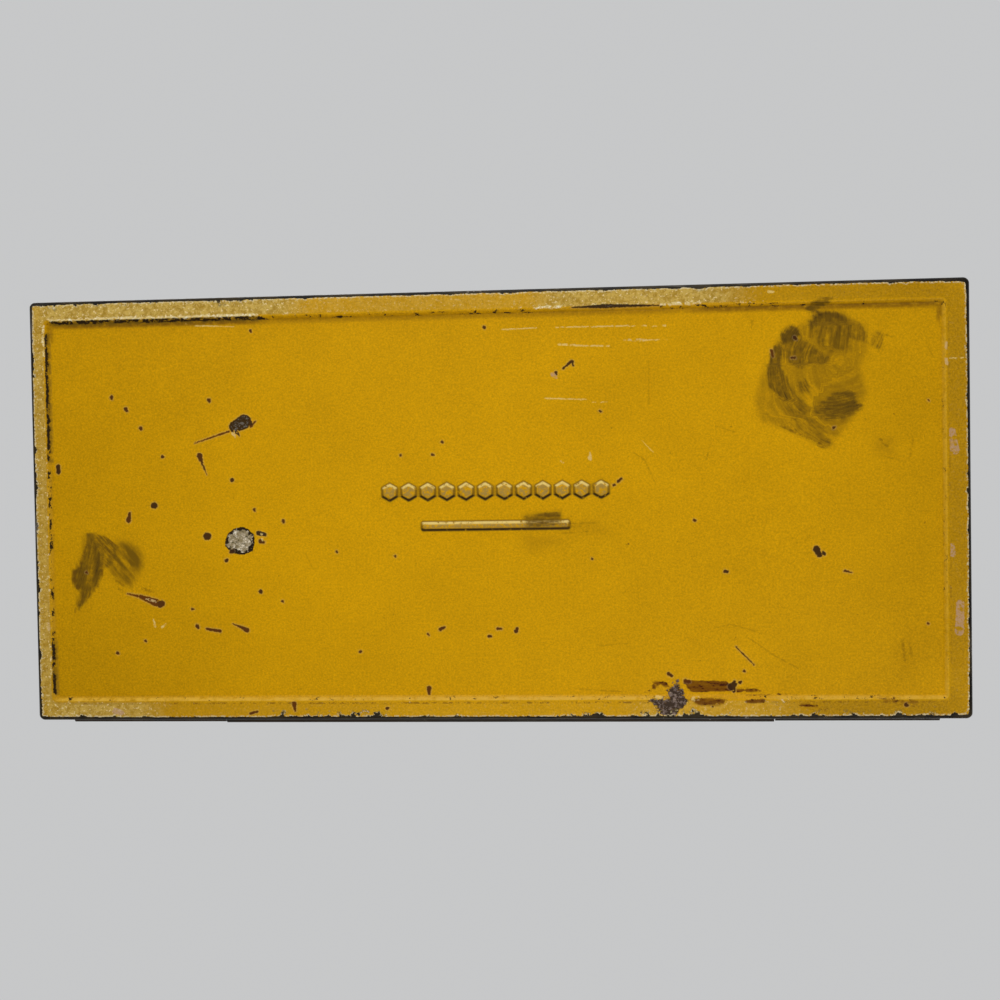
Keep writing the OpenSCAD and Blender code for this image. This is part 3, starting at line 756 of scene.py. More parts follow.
OLIVE_DIRT = (0.105, 0.055, 0.003)
SLOPE_SHADE = (0.200, 0.115, 0.008)
BROWN_DIRT_AND_SHADE = (0.150, 0.064, 0.002)
RIDGE_BROWN = (0.190, 0.085, 0.004)
DARK_DIRT = (0.035, 0.020, 0.004)
BARE_TIN = (0.500, 0.420, 0.290)
BARE_BRIGHT = (0.820, 0.740, 0.580)
BARE_DULL = (0.270, 0.210, 0.110)
BARE_DARK = (0.075, 0.060, 0.025)
DULL_TIN = (0.300, 0.270, 0.230)
GOLD_LINE = (0.520, 0.300, 0.030)
GOLD_LACQUER = (0.560, 0.420, 0.190)
DULL_LACQUER = (0.470, 0.380, 0.220)
KNUCKLE_BROWN = (0.026, 0.013, 0.003)
KNUCKLE_TIN = (0.220, 0.170, 0.100)
STEEL = (0.430, 0.410, 0.380)
TARNISH = (0.200, 0.160, 0.120)
PENCIL_WOOD = (0.560, 0.330, 0.140)
PENCIL_SHINE = (0.900, 0.850, 0.750)
PENCIL_COLOURS = (
    (0.45, 0.02, 0.02), (0.60, 0.12, 0.01), (0.70, 0.33, 0.01), (0.55, 0.50, 0.03),
    (0.10, 0.28, 0.03), (0.01, 0.12, 0.05), (0.01, 0.20, 0.24), (0.01, 0.06, 0.26),
    (0.06, 0.02, 0.18), (0.28, 0.03, 0.16), (0.12, 0.04, 0.015), (0.50, 0.48, 0.43),
)
PENCIL_DUSTS = ((0.30, 0.06, 0.04), (0.05, 0.10, 0.24), (0.06, 0.16, 0.06), (0.03, 0.03, 0.03))

# The pencils drawn on the lid
PENCIL_COUNT = len(PENCIL_COLOURS)
PENCIL_PITCH = 4.3
PENCIL_WIDTH = 3.5
PENCIL_REACH = 66.0
PENCIL_POINT = 9.0
PENCIL_LEAD = 63.0
PENCIL_SHOULDER = 56.0
PENCIL_BAND = 1.3


def add_node(tree, kind, inputs=(), **settings):
    """Adds a shader node, sets its properties, and writes or links its inputs by number or name."""
    node = tree.nodes.new("ShaderNode" + kind)
    for name, value in settings.items():
        setattr(node, name, value)
    for key, value in dict(inputs).items():
        put(tree, node.inputs[key], value)
    return node


def put(tree, socket, value):
    """Links a node's output to a socket, or writes a number, vector or colour on it."""
    if isinstance(value, bpy.types.NodeSocket):
        tree.links.new(value, socket)
    elif socket.type == "RGBA":
        socket.default_value = (*value, 1.0)
    else:
        socket.default_value = value


def mix(tree, mask, below, above, kind="RGBA", blend="MIX"):
    """Number or colour that goes from below to above as the mask goes from 0 to 1."""
    node = add_node(tree, "Mix", data_type=kind, blend_type=blend)
    sockets = [socket for socket in node.inputs if socket.enabled]
    for socket, value in zip(sockets, (mask, below, above)):
        put(tree, socket, value)
    return next(socket for socket in node.outputs if socket.enabled)


class Finish:
    """A material built up in coats, each laid over what is there where its mask is 1."""

    def __init__(self, name, colour, roughness, metallic=0.0, specular=0.25):
        self.material = bpy.data.materials.new(name)
        self.material.use_nodes = True
        self.tree = self.material.node_tree
        self.shader = self.tree.nodes["Principled BSDF"]
        self.shader.inputs["Specular IOR Level"].default_value = specular
        self.material.diffuse_color = (*colour, 1.0)
        where = self.add("TexCoord").outputs["Object"]
        self.place = self.vector("MULTIPLY_ADD", where, (1 / MM,) * 3, (0.0, -CENTRING, 0.0))
        self.colour, self.roughness, self.metallic, self.height = colour, roughness, metallic, 0.0

    def add(self, kind, inputs=(), **settings):
        return add_node(self.tree, kind, inputs, **settings)

    def math(self, operation, *values):
        return self.add("Math", enumerate(values), operation=operation).outputs[0]

    def plus(self, base, noise, amount, middle=0.0):
        """The base plus an amount of what a noise has above its middle."""
        above = self.math("SUBTRACT", noise, middle) if middle else noise
        return self.math("MULTIPLY_ADD", above, amount, base)

    def vector(self, operation, *values):
        keys = (0, "Scale") if operation == "SCALE" else range(len(values))
        node = self.add("VectorMath", zip(keys, values), operation=operation)
        return node.outputs["Value" if operation in ("DOT_PRODUCT", "LENGTH") else "Vector"]

    def parts(self, vector):
        return self.add("SeparateXYZ", {0: vector}).outputs[:]

    def field(self, name, as_vector=False):
        return self.add("Attribute", attribute_name=name).outputs["Vector" if as_vector else "Fac"]

    def step(self, value, low, high, top=1.0):
        """Rises smoothly from 0 to top as the value goes from low to high, either way round."""
        inputs = {"Value": value, "From Min": low, "From Max": high, "To Max": top}
        return self.add("MapRange", inputs, interpolation_type="SMOOTHSTEP").outputs["Result"]

    def band(self, value, low, full, still_full, high):
        """Rises from 0 to 1 between the first two values and falls back between the last two."""
        return self.both(self.step(value, low, full), self.step(value, high, still_full))

    def noise(self, size, detail=2.0, stretch=(1.0, 1.0, 1.0), at=None, rough=0.55, shift=0.0):
        """Fractal noise from 0 to 1 whose patches are about the size wide, stretched along each axis."""
        at = self.place if at is None else at
        at = self.vector("MULTIPLY_ADD", at, tuple(1 / s for s in stretch), (shift,) * 3)
        inputs = {"Vector": at, "Scale": 1 / size, "Detail": detail, "Roughness": rough}
        return self.add("TexNoise", inputs).outputs["Fac"]

    def both(self, *masks):
        """Product of masks."""
        result = masks[0]
        for mask in masks[1:]:
            result = self.math("MULTIPLY", result, mask)
        return result

    def mixed(self, mask, below, above):
        coloured = any(np.ndim(value) == 1 if not isinstance(value, bpy.types.NodeSocket)
                       else value.type == "RGBA" for value in (below, above))
        return mix(self.tree, mask, below, above, "RGBA" if coloured else "FLOAT")

    def tinted(self, colour, brightness):
        """A colour times a number."""
        grey = self.add("CombineColor", {0: brightness, 1: brightness, 2: brightness}).outputs[0]
        return mix(self.tree, 1.0, colour, grey, blend="MULTIPLY")

    def coat(self, mask, colour, roughness=None, metallic=None, height=None):
        """Lays a coat where the mask, or the product of the masks, is 1. Height is in mm."""
        mask = self.both(*mask) if isinstance(mask, tuple) else mask
        self.colour = self.mixed(mask, self.colour, colour)
        if roughness is not None:
            self.roughness = self.mixed(mask, self.roughness, roughness)
        if metallic is not None:
            self.metallic = self.mixed(mask, self.metallic, metallic)
        if height is not None:
            self.raised(mask, height)

    def raised(self, mask, height):
        """Adds a height in mm to what is there, where the mask is 1."""
        self.height = self.math("ADD", self.height, self.both(mask, height))

    def stroke(self, name):
        """Distance in mm to the stroke that is stored on the face under a name."""
        start, end = self.field(name + "_start", True), self.field(name + "_end", True)
        flat = (1.0, 1.0, 0.0)
        run = self.vector("MULTIPLY", self.vector("SUBTRACT", end, start), flat)
        away = self.vector("MULTIPLY", self.vector("SUBTRACT", self.warped, start), flat)
        reach = self.math("MAXIMUM", self.vector("DOT_PRODUCT", run, run), 1e-4)
        share = self.math("DIVIDE", self.vector("DOT_PRODUCT", away, run), reach)
        share = self.math("MINIMUM", self.math("MAXIMUM", share, 0.0), 1.0)
        beside = self.vector("LENGTH", self.vector("SUBTRACT", away, self.vector("SCALE", run, share)))
        half = self.mixed(share, self.parts(start)[2], self.parts(end)[2])
        return self.math("SUBTRACT", beside, half)

    def warp(self, size, amount):
        """Moves the place by noise, so that marks have ragged edges."""
        inputs = {"Vector": self.place, "Scale": 1 / size, "Detail": 3.0}
        colour = self.add("TexNoise", inputs).outputs["Color"]
        shift = self.vector("MULTIPLY_ADD", colour, (2 * amount,) * 3, (-amount,) * 3)
        self.warped = self.vector("ADD", self.place, shift)

    def done(self):
        """Connects what the coats have come to, and gives the material."""
        for name, value in (("Base Color", self.colour), ("Roughness", self.roughness),
                            ("Metallic", self.metallic)):
            put(self.tree, self.shader.inputs[name], value)
        bump = self.add("Bump", {"Distance": MM, "Height": self.height})
        put(self.tree, self.shader.inputs["Normal"], bump.outputs["Normal"])
        return self.material


def worn_black(f, mask):
    """Black stoving enamel over tin: scuffed grey, chipped to bare metal and specked with rust."""
    cloud = f.noise(6.0, 3.0, shift=11.0)
    speck = f.noise(0.9, 4.0, rough=0.7, shift=5.0)
    scuff = f.noise(1.0, 3.0, stretch=(14.0, 14.0, 0.6), shift=3.0)
    f.coat(mask, f.mixed(f.step(cloud, 0.35, 0.6), BLACK, BROWN_BLACK), f.mixed(speck, 0.28, 0.5), 0.0)
    f.coat((mask, f.step(scuff, 0.62, 0.76, 0.40)), DULL_TIN, 0.5, 0.2)
    f.coat((mask, f.step(f.both(cloud, speck), 0.38, 0.41)), DULL_TIN, 0.5, 0.5, -0.02)
    f.coat((mask, f.step(speck, 0.68, 0.72), f.step(cloud, 0.45, 0.6)), BROWN_RUST, 0.8, 0.0)


def underside_finish():
    """Yellow enamel on the flat face, black round the edge and up the walls, with all the marks, and painted
    shade and highlights at the sides, the step and the relief.
    """
    f = Finish("yellow_enamel", YELLOW, 0.33, specular=0.07)
    f.warp(0.45, 0.24)
    rim, ridge = f.field("rim"), f.field("ridge")
    grain = f.noise(0.42, 3.0, rough=0.75)
    ragged = f.noise(1.3, 4.0, rough=0.7, shift=7.0)
    fine = f.noise(0.55, 3.0, rough=0.7, shift=21.0)
    mottle = f.noise(0.9, 4.0, rough=0.75, shift=13.0)
    drift = f.noise(11.0, 3.0)
    wide = f.noise(45.0, 2.0, shift=2.0)
    peel = f.noise(1.7, 1.0, shift=9.0)

    # Brightness of the yellow: painted shade towards the sides and a brighter middle from the stored field,
    # then random grain and drift
    light = f.math("SUBTRACT", 1.06, f.field("shade_and_toning"))
    for noise, amount in ((grain, 1.15), (peel, 0.12), (drift, 0.16), (wide, 0.20)):
        light = f.plus(light, noise, amount, 0.5)
    f.colour = f.tinted(YELLOW, light)
    f.raised(peel, 0.012)
    f.raised(grain, 0.003)
    f.coat(f.step(fine, 0.65, 0.72, 0.5), FADED_YELLOW)

    # Border: rubbed, mottled with brown and flecked with primer
    mottled = f.both(f.step(ridge, 0.0, -0.5), f.field("mottled"))
    tones = f.mixed(f.step(mottle, 0.36, 0.62), BORDER_BROWN, BORDER_PALE)
    f.coat((mottled, 0.8), tones, 0.5)
    f.coat((mottled, f.step(fine, 0.59, 0.65)), BORDER_FLECK, 0.5, height=-0.01)
    f.coat((mottled, f.step(grain, 0.36, 0.30, 0.8)), BORDER_DARK, 0.6)

    # Painted shade at the foot of the step along the front, and grime round the relief with painted shade on
    # its lower sides and painted highlights on its upper edges
    foot = f.both(f.band(ridge, 0.35, 0.8, 1.2, 2.0), f.field("foot_shade"))
    f.coat((foot, f.step(ragged, 0.1, 0.6, 0.85)), BROWN_DIRT_AND_SHADE, 0.5)
    relief, side = f.field("relief"), f.field("relief_side")
    lower, upper = f.step(side, 0.1, -0.7), f.step(side, -0.1, 0.7)
    near = f.band(relief, -0.5, -0.1, 0.1, 0.42)
    f.coat((f.step(relief, 0.2, 0.6), f.step(mottle, 0.40, 0.56, 0.8)), RELIEF_WORN, 0.5)
    # Grime round the relief, heavier on its lower sides as painted shade
    f.coat((near, f.plus(0.65, lower, 0.35), f.step(ragged, 0.24, 0.44)), GRIME_AND_SHADE_BLACK, 0.6)
    # Painted highlight on the relief's upper edges
    f.coat((f.band(relief, -0.15, 0.1, 0.3, 0.6), upper, f.step(ragged, 0.36, 0.50)), RELIEF_HIGHLIGHT, 0.4)

    # Smudges: a thin film, and dirt laid in streaks on it
    smudge, inside = f.field("smudge"), f.step(f.field("smudge_edge"), -0.9, -0.2)
    streak = f.field("streak", True)
    lines = f.noise(0.40, 4.0, stretch=(9.0, 1.0, 1.0), at=streak, rough=0.75)
    strands = f.noise(1.6, 3.0, stretch=(3.5, 1.0, 1.0), at=streak, shift=4.0)
    broken = f.step(f.plus(strands, mottle, 0.3), 0.25, 0.86, 1.3)
    f.coat((f.field("film"), broken), OLIVE_FILM, 0.45)
    soak = 0.0
    for noise, amount in ((lines, 1.2), (strands, 0.5), (mottle, 0.6), (smudge, 0.42),
                          (f.both(inside, smudge), 0.10)):
        soak = f.plus(soak, noise, amount)
    edge = f.step(f.plus(smudge, ragged, 1.0, 0.5), 0.12, 0.42)
    f.coat((edge, smudge, f.step(soak, 1.05, 1.60, 0.9)), OLIVE_FILM, 0.5)
    f.coat((edge, f.step(soak, 1.38, 1.78, 0.85)), OLIVE_DIRT, 0.55, height=0.01)
    f.coat((edge, f.step(soak, 1.70, 1.92, 0.85)), DARK_DIRT, 0.6)

    # Ridge: a painted highlight along it with a darker brown band beside it, worn to primer along its crest,
    # and painted shade and black flecks along its slope
    highlight_mask = f.field("ridge_highlight")
    # Painted highlight: a bright band along the ridge
    rubbed = f.both(f.band(ridge, -0.15, 0.15, 0.45, 0.85), f.step(ragged, 0.25, 0.6, 0.85))
    f.coat((highlight_mask, rubbed), HIGHLIGHT_YELLOW, 0.35)
    # A darker brown band just outside the painted highlight
    dulled = f.both(f.band(ridge, -0.8, -0.6, -0.4, -0.2), f.step(mottle, 0.50, 0.56, 0.7))
    f.coat((highlight_mask, dulled), RIDGE_BROWN)
    line = f.field("black_line_and_shade")
    worn = f.plus(f.plus(f.both(ragged, 0.5), mottle, 0.5), f.field("ridge_wear"), 0.22)
    worn = f.step(worn, 0.62, 0.70)
    wavy = f.plus(ridge, ragged, 1.5, 0.5)
    crest = f.band(wavy, -0.50, -0.28, 0.02, 0.25)
    f.coat((worn, crest, f.step(mottle, 0.30, 0.42, 0.9)), CREST_CREAM, 0.5, height=-0.02)
    f.coat((worn, crest, f.step(fine, 0.52, 0.60)), PRIMER, 0.5)
    # Painted shade on the slope below the ridge
    slope_shade = f.both(f.step(line, 0.5, 0.9), f.band(ridge, -0.1, 0.15, 0.8, 1.3))
    f.coat((slope_shade, f.step(ragged, 0.30, 0.62, 0.75)), SLOPE_SHADE, 0.5)
    clumps = f.noise(1.1, 4.0, stretch=(1.8, 1.8, 1.0), rough=0.75, shift=47.0)
    inky = f.step(f.plus(clumps, line, 0.16), 0.61, 0.65)
    jagged = f.plus(ridge, mottle, 1.0, 0.5)
    jagged_end = f.plus(jagged, f.field("thin_line"), 0.20)
    slope = f.both(f.step(jagged, 0.0, 0.12), f.step(jagged_end, 0.84, 0.66))
    f.coat((inky, slope), LINE_BLACK, 0.5, height=-0.03)

    # Rust, and metal burnt beside it
    rust = f.field("rust")
    uneven = f.math("ADD", f.math("SUBTRACT", ragged, 0.5), f.math("SUBTRACT", mottle, 0.5))
    rusted = f.step(f.plus(rust, uneven, 1.3), 0.22, 0.50)
    mottling = f.noise(0.9, 4.0, stretch=(2.5, 1.0, 1.0), rough=0.75, shift=19.0)
    tones = f.mixed(f.step(mottling, 0.38, 0.54), BROWN_RUST, RED_RUST)
    f.coat((rusted, f.step(rust, 0.1, 0.6, 0.92)), tones, 0.6, height=0.02)
    f.coat((rusted, f.step(mottling, 0.54, 0.60)), RUST_BLOT, 0.7)
    burnt = f.step(f.plus(f.field("burnt"), uneven, 2.2), 0.25, -0.15)
    flaking = f.noise(1.0, 4.0, rough=0.8, shift=23.0)
    f.coat(burnt, BURNT_BLACK, 0.6, height=f.both(flaking, 0.15))
    f.coat((burnt, f.step(flaking, 0.50, 0.57)), BURNT_GREY, 0.5, 0.1)
    f.coat((burnt, f.step(flaking, 0.62, 0.68)), BURNT_PALE, 0.5)
    f.coat((burnt, f.step(mottle, 0.60, 0.66)), BROWN_DIRT_AND_SHADE, 0.6)

    # A chip down to bare tin in a black ring
    bare = f.plus(f.field("bare"), uneven, 0.7)
    f.coat(f.step(bare, 0.10, -0.08), RING_BLACK, 0.5, height=-0.03)
    patchy = f.noise(1.0, 3.0, rough=0.7, shift=43.0)
    inside = f.step(f.plus(bare, patchy, 3.6, 0.5), -0.42, -0.55)
    f.coat(inside, f.mixed(f.step(flaking, 0.44, 0.56), BARE_DULL, BARE_TIN), 0.5, 0.1, -0.05)
    f.coat((inside, f.step(flaking, 0.55, 0.60)), BARE_BRIGHT, 0.5, 0.0)
    f.coat((inside, f.step(fine, 0.44, 0.38)), BARE_DARK, 0.6, 0.0)

    # Faint, dark and pale marks
    faint = f.both(f.step(f.stroke("faint"), 0.14, -0.04, 0.7), f.field("faint_tint"))
    f.coat((faint, f.step(mottle, 0.34, 0.60)), FAINT_BROWN)
    dark, tint = f.stroke("dark"), f.field("dark_tint")
    f.coat(f.step(dark, 0.34, 0.02, 0.16), SPOT_HALO)
    f.coat(f.step(dark, 0.10, -0.12, 0.96), f.mixed(tint, SPOT_BLACK, SPOT_RED), 0.5, height=0.03)
    f.coat((f.step(dark, -0.28, -0.4), f.step(fine, 0.50, 0.58), f.step(tint, 0.09, 0.03)), SPOT_GREY, 0.5)
    pale = f.both(f.step(f.stroke("pale"), 0.06, -0.1, 0.68), f.step(fine, 0.34, 0.50))
    dashed = f.step(f.noise(1.6, 2.0, shift=27.0), 0.36, 0.48)
    f.coat((pale, dashed), f.mixed(f.field("pale_tint"), PALE_SCRATCH, PINKISH), 0.5, height=-0.015)

    # Black edge, ragged, with primer showing where it ends
    flakes = f.step(f.noise(2.8, 4.0, rough=0.72, shift=29.0), 0.48, 0.72, 1.8)
    flaked = f.both(f.field("edge_chips"), flakes)
    edge_at = f.plus(f.math("ADD", f.plus(0.25, ragged, 0.7), flaked), f.field("corner"), 0.35)
    inward = f.math("SUBTRACT", rim, edge_at)
    f.coat((f.step(inward, 1.0, 0.1), f.step(flaked, 0.1, 0.6), f.step(mottle, 0.4, 0.55)), EDGE_BROWN, 0.6)
    f.coat((f.step(inward, 0.45, 0.15), f.step(fine, 0.44, 0.54, 0.9)), EDGE_PRIMER, 0.5)
    worn_black(f, f.step(inward, 0.09, -0.03))
    return f.done()


def lid_finish():
    """Black lid with a gold line, and a yellow panel with a black line round twelve plain pencils."""
    f = Finish("black_and_yellow_enamel", BLACK, 0.35)
    rim, ridge, corner = f.field("rim"), f.field("ridge"), f.field("corner")
    x, y, _ = f.parts(f.place)
    grain = f.noise(0.42, 2.0, rough=0.7)
    ragged = f.noise(1.3, 4.0, rough=0.7, shift=7.0)
    fine = f.noise(0.55, 3.0, rough=0.7, shift=21.0)
    drift = f.noise(11.0, 3.0)
    peel = f.noise(1.7, 1.0, shift=9.0)
    worn_black(f, 1.0)
    f.raised(peel, 0.012)

    enamel = f.tinted(f.mixed(f.step(drift, 0.45, 0.85), YELLOW, DULL_YELLOW), f.plus(1.0, grain, 0.22, 0.5))
    jitter = f.plus(-0.06, fine, 0.12)
    inner, outer = f.math("ADD", ridge, jitter), f.math("ADD", rim, jitter)
    f.coat(f.band(outer, 2.55, 2.63, 3.12, 3.2), GOLD_LINE, 0.4)
    f.coat(f.step(inner, 0.95, 1.05), enamel, f.mixed(drift, 0.34, 0.5))
    f.coat(f.band(inner, 3.5, 3.58, 4.22, 4.3), BLACK, 0.35)
    f.coat(f.band(inner, 5.1, 5.16, 5.34, 5.4), BLACK, 0.35)

    # Pencils side by side: which one, and how far from its own middle line
    half_row, half_width = PENCIL_PITCH * PENCIL_COUNT / 2, PENCIL_WIDTH / 2
    across = f.math("DIVIDE", f.math("ADD", y, half_row), PENCIL_PITCH)
    which = f.math("FLOOR", across)
    beside = f.math("ABSOLUTE", f.math("SUBTRACT", f.math("SUBTRACT", across, which), 0.5))
    beside = f.both(beside, PENCIL_PITCH)
    rows = f.step(f.math("ABSOLUTE", y), half_row + 0.05, half_row - 0.05)
    share = f.math("DIVIDE", f.math("ADD", which, 0.5), float(PENCIL_COUNT))
    ramp = f.add("ValToRGB", {0: share})
    ramp.color_ramp.interpolation = "CONSTANT"
    stops = ramp.color_ramp.elements
    stops.remove(stops[1])
    stops[0].color = (*PENCIL_COLOURS[0], 1.0)
    for number, colour in enumerate(PENCIL_COLOURS[1:], 1):
        stops.new(number / PENCIL_COUNT).color = (*colour, 1.0)
    paint = ramp.outputs[0]
    tip = f.plus(x, beside, PENCIL_POINT / half_width)
    sides = f.step(beside, half_width + 0.05, half_width - 0.05)
    body = f.both(rows, sides, f.step(x, -PENCIL_REACH, -PENCIL_REACH + 0.1))
    pointed = f.both(body, f.step(tip, PENCIL_REACH, PENCIL_REACH - 0.1))
    scallop = f.both(f.math("COSINE", f.both(beside, 9.0 / PENCIL_WIDTH)), 0.5)
    painted = f.both(body, f.step(f.math("ADD", x, scallop), PENCIL_SHOULDER, PENCIL_SHOULDER - 0.1))
    f.coat(pointed, PENCIL_WOOD, 0.45)
    f.coat((pointed, f.step(x, PENCIL_LEAD - 0.1, PENCIL_LEAD)), paint)
    f.coat(painted, paint, 0.4)
    shine = f.step(beside, PENCIL_WIDTH * 0.2, PENCIL_WIDTH * 0.12, 0.25)
    f.coat((shine, painted), f.mixed(0.35, paint, PENCIL_SHINE))
    f.coat((body, f.step(x, -PENCIL_REACH + PENCIL_BAND, -PENCIL_REACH + PENCIL_BAND - 0.1)), BLACK)

    # Wear: rubbed crests, chipped edge, hair scratches, grime and rust
    f.coat((f.band(ridge, -0.7, -0.2, 0.2, 0.7), f.step(ragged, 0.52, 0.64)), DULL_TIN, 0.45, 0.5, -0.01)
    worn_rim = f.band(rim, -0.9, -0.2, 0.6, 1.5)
    amount = f.plus(f.math("ADD", f.both(ragged, 0.7), f.both(drift, 0.35)), corner, 0.22)
    f.coat((worn_rim, f.step(amount, 0.58, 0.63)), DULL_TIN, 0.42, 0.7, -0.02)
    f.coat((worn_rim, f.step(amount, 0.70, 0.76)), BROWN_RUST, 0.8, 0.0)
    f.coat((f.step(rim, -4.9, -5.4), f.step(ragged, 0.5, 0.6)), DULL_TIN, 0.45, 0.5)
    for number, (turn, gap, share) in enumerate(((0.15, 1.1, 0.75), (-0.5, 1.4, 0.77), (1.35, 1.6, 0.78))):
        turned = f.add("VectorRotate", {"Vector": f.place, "Angle": turn}, rotation_type="Z_AXIS")
        thin = f.noise(gap, 2.0, (60.0, 1.0, 1.0), turned.outputs["Vector"], 0.8, 3.0 * number)
        where = f.both(f.step(f.noise(14.0, 2.0, shift=41.0 + number), 0.5, 0.62), f.step(ridge, 0.6, 1.2))
        f.coat((where, f.step(thin, share - 0.03, share, 0.7)), CREAM, 0.5, height=-0.01)
    pits = f.noise(1.6, 4.0, rough=0.75, shift=37.0)
    f.coat((f.step(ridge, 0.4, 1.0), f.step(pits, 0.70, 0.73)), DARK_RUST, 0.7, 0.0, -0.02)
    f.coat((f.band(ridge, 0.4, 0.9, 1.0, 2.6), f.step(ragged, 0.3, 0.7, 0.6)), OLIVE_DIRT, 0.6)
    f.coat((f.step(drift, 0.55, 0.8, 0.3), f.step(ragged, 0.4, 0.7)), OLIVE_DIRT, 0.6)
    return f.done()


def inside_finish():
    """Tinplate under thin gold lacquer, dulled, dusted with pencil colours and rusting at the corners."""
    f = Finish("lacquered_tinplate", GOLD_LACQUER, 0.32, 0.85, specular=0.5)
    grain = f.noise(0.5, 3.0, stretch=(12.0, 1.0, 1.0), rough=0.7)
    cloud = f.noise(14.0, 3.0)
    speck = f.noise(1.1, 4.0, rough=0.75, shift=5.0)
    f.colour = f.mixed(f.step(cloud, 0.35, 0.7), GOLD_LACQUER, DULL_LACQUER)
    f.roughness = f.mixed(grain, 0.26, 0.44)
    f.raised(grain, 0.006)
    for number, colour in enumerate(PENCIL_DUSTS):
        rub = f.noise(1.2, 3.0, stretch=(16.0, 1.0, 1.0), rough=0.75, shift=50.0 + 7.0 * number)
        place = f.noise(18.0, 2.0, shift=60.0 + 5.0 * number)
        f.coat((f.step(rub, 0.5, 0.72, 0.5), f.step(place, 0.5, 0.64)), colour, 0.7, 0.1)
    f.coat((f.step(speck, 0.64, 0.70), f.step(f.field("corner"), 0.0, 0.25)), BROWN_RUST, 0.85, 0.0)
    f.coat(f.step(speck, 0.74, 0.77), DARK_RUST, 0.85, 0.0, 0.02)
    return f.done()


def knuckle_finish():
    """The black enamel of the rolled knuckles, rubbed brown and through to the tin on their round."""
    f = Finish("knuckle_black", BLACK, 0.4)
    worn_black(f, 1.0)
    rub = f.noise(1.0, 4.0, stretch=(5.0, 1.0, 1.0), rough=0.7, shift=33.0)
    f.coat(f.step(rub, 0.30, 0.55, 0.9), KNUCKLE_BROWN, 0.6, 0.0)
    f.coat(f.step(rub, 0.70, 0.75, 0.7), KNUCKLE_TIN, 0.45, 0.4)
    return f.done()


def wire_finish():
    """Drawn steel wire: fine lines round it, tarnished, with specks of rust."""
    f = Finish("hinge_steel", STEEL, 0.32, 0.9, specular=0.5)
    lines = f.noise(0.25, 2.0, stretch=(0.3, 3.0, 3.0))
    tarnish = f.noise(2.2, 4.0, rough=0.7, shift=3.0)
    f.roughness = f.mixed(lines, 0.24, 0.42)
    f.raised(lines, 0.003)
    f.coat(f.step(tarnish, 0.45, 0.65, 0.6), TARNISH, 0.5, 0.6)
    f.coat(f.step(tarnish, 0.62, 0.70), BROWN_RUST, 0.8, 0.0)
    return f.done()


def add_object(name, data):
    """Makes an object and puts it in the scene."""
    made = bpy.data.objects.new(name, data)
    bpy.context.scene.collection.objects.link(made)
    return made


def make_piece(name, points, faces, body, finishes, node, hidden=None, sharp=50.0):
    """Puts points in mm and triangles into a mesh, and declares what the piece stands for."""
    mesh = bpy.data.meshes.new(name)
    placed = (points + (0.0, CENTRING, 0.0)) * MM
    mesh.from_pydata(placed.tolist(), [], faces.tolist())
    for finish in finishes:
        mesh.materials.append(finish)
    if hidden is not None:
        mesh.polygons.foreach_set("material_index", hidden.astype(np.int32))
    mesh.shade_smooth()
    mesh.set_sharp_from_angle(angle=np.radians(sharp))
    made = add_object(name, mesh)
    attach(made, body)
    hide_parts(node)
    return mesh


black_and_yellow = lid_finish()
tinplate = inside_finish()
rolled_black = knuckle_finish()

# The lines of both pans' grids: usual gap, and closer lines over the pressed step and the relief
STEP_HALF = 0.9
STEP_MIDDLE = 0.6
STEP_GAP = 0.17
STEP_BAND_X, STEP_BAND_Y = [
    [(sign * (panel - STEP_MIDDLE) - STEP_HALF, sign * (panel - STEP_MIDDLE) + STEP_HALF, STEP_GAP)
     for sign in (-1, 1)] for panel in (PANEL_X, PANEL_Y)]
TRAY_GAP = 0.80
LID_GAP = 0.75
RELIEF_BAND_X = (-24.0, 26.0, 0.33)
RELIEF_BANDS_Y = ((-4.9, -1.1, 0.3), (2.8, 5.2, 0.3))
TRAY_THIN_BELOW = 6.5
LID_THIN_BELOW = 2.6
REACH_X = LENGTH / 2 - CORNER
REACH_Y = WIDTH / 2 - CORNER
MIDDLE_CUTS = (-MIDDLE_CUT, MIDDLE_CUT)

tray_band_x = [(low + BASE_PANEL_X, high + BASE_PANEL_X, gap) for low, high, gap in STEP_BAND_X]
tray_xs = grid_lines(REACH_X, TRAY_GAP, [RELIEF_BAND_X, *tray_band_x], MIDDLE_CUTS)
tray_ys = grid_lines(REACH_Y, TRAY_GAP, [*RELIEF_BANDS_Y, *STEP_BAND_Y])
flange_top = HINGE_Z + MIDDLE_TOP
tray_points, tray_faces, tray_hidden = pan(
    tray_xs, tray_ys, base_floor, CORNER, RIM_HEIGHT,
    [(MIDDLE_CUT, flange_top - SHEET / 2)], MIDDLE_CUT, TRAY_THIN_BELOW)
tray_mesh = make_piece("tray_shell", tray_points, tray_faces, "tray",
                       [underside_finish(), tinplate], "tray", tray_hidden)
keep_base_marks(tray_mesh, tray_points, tray_faces)

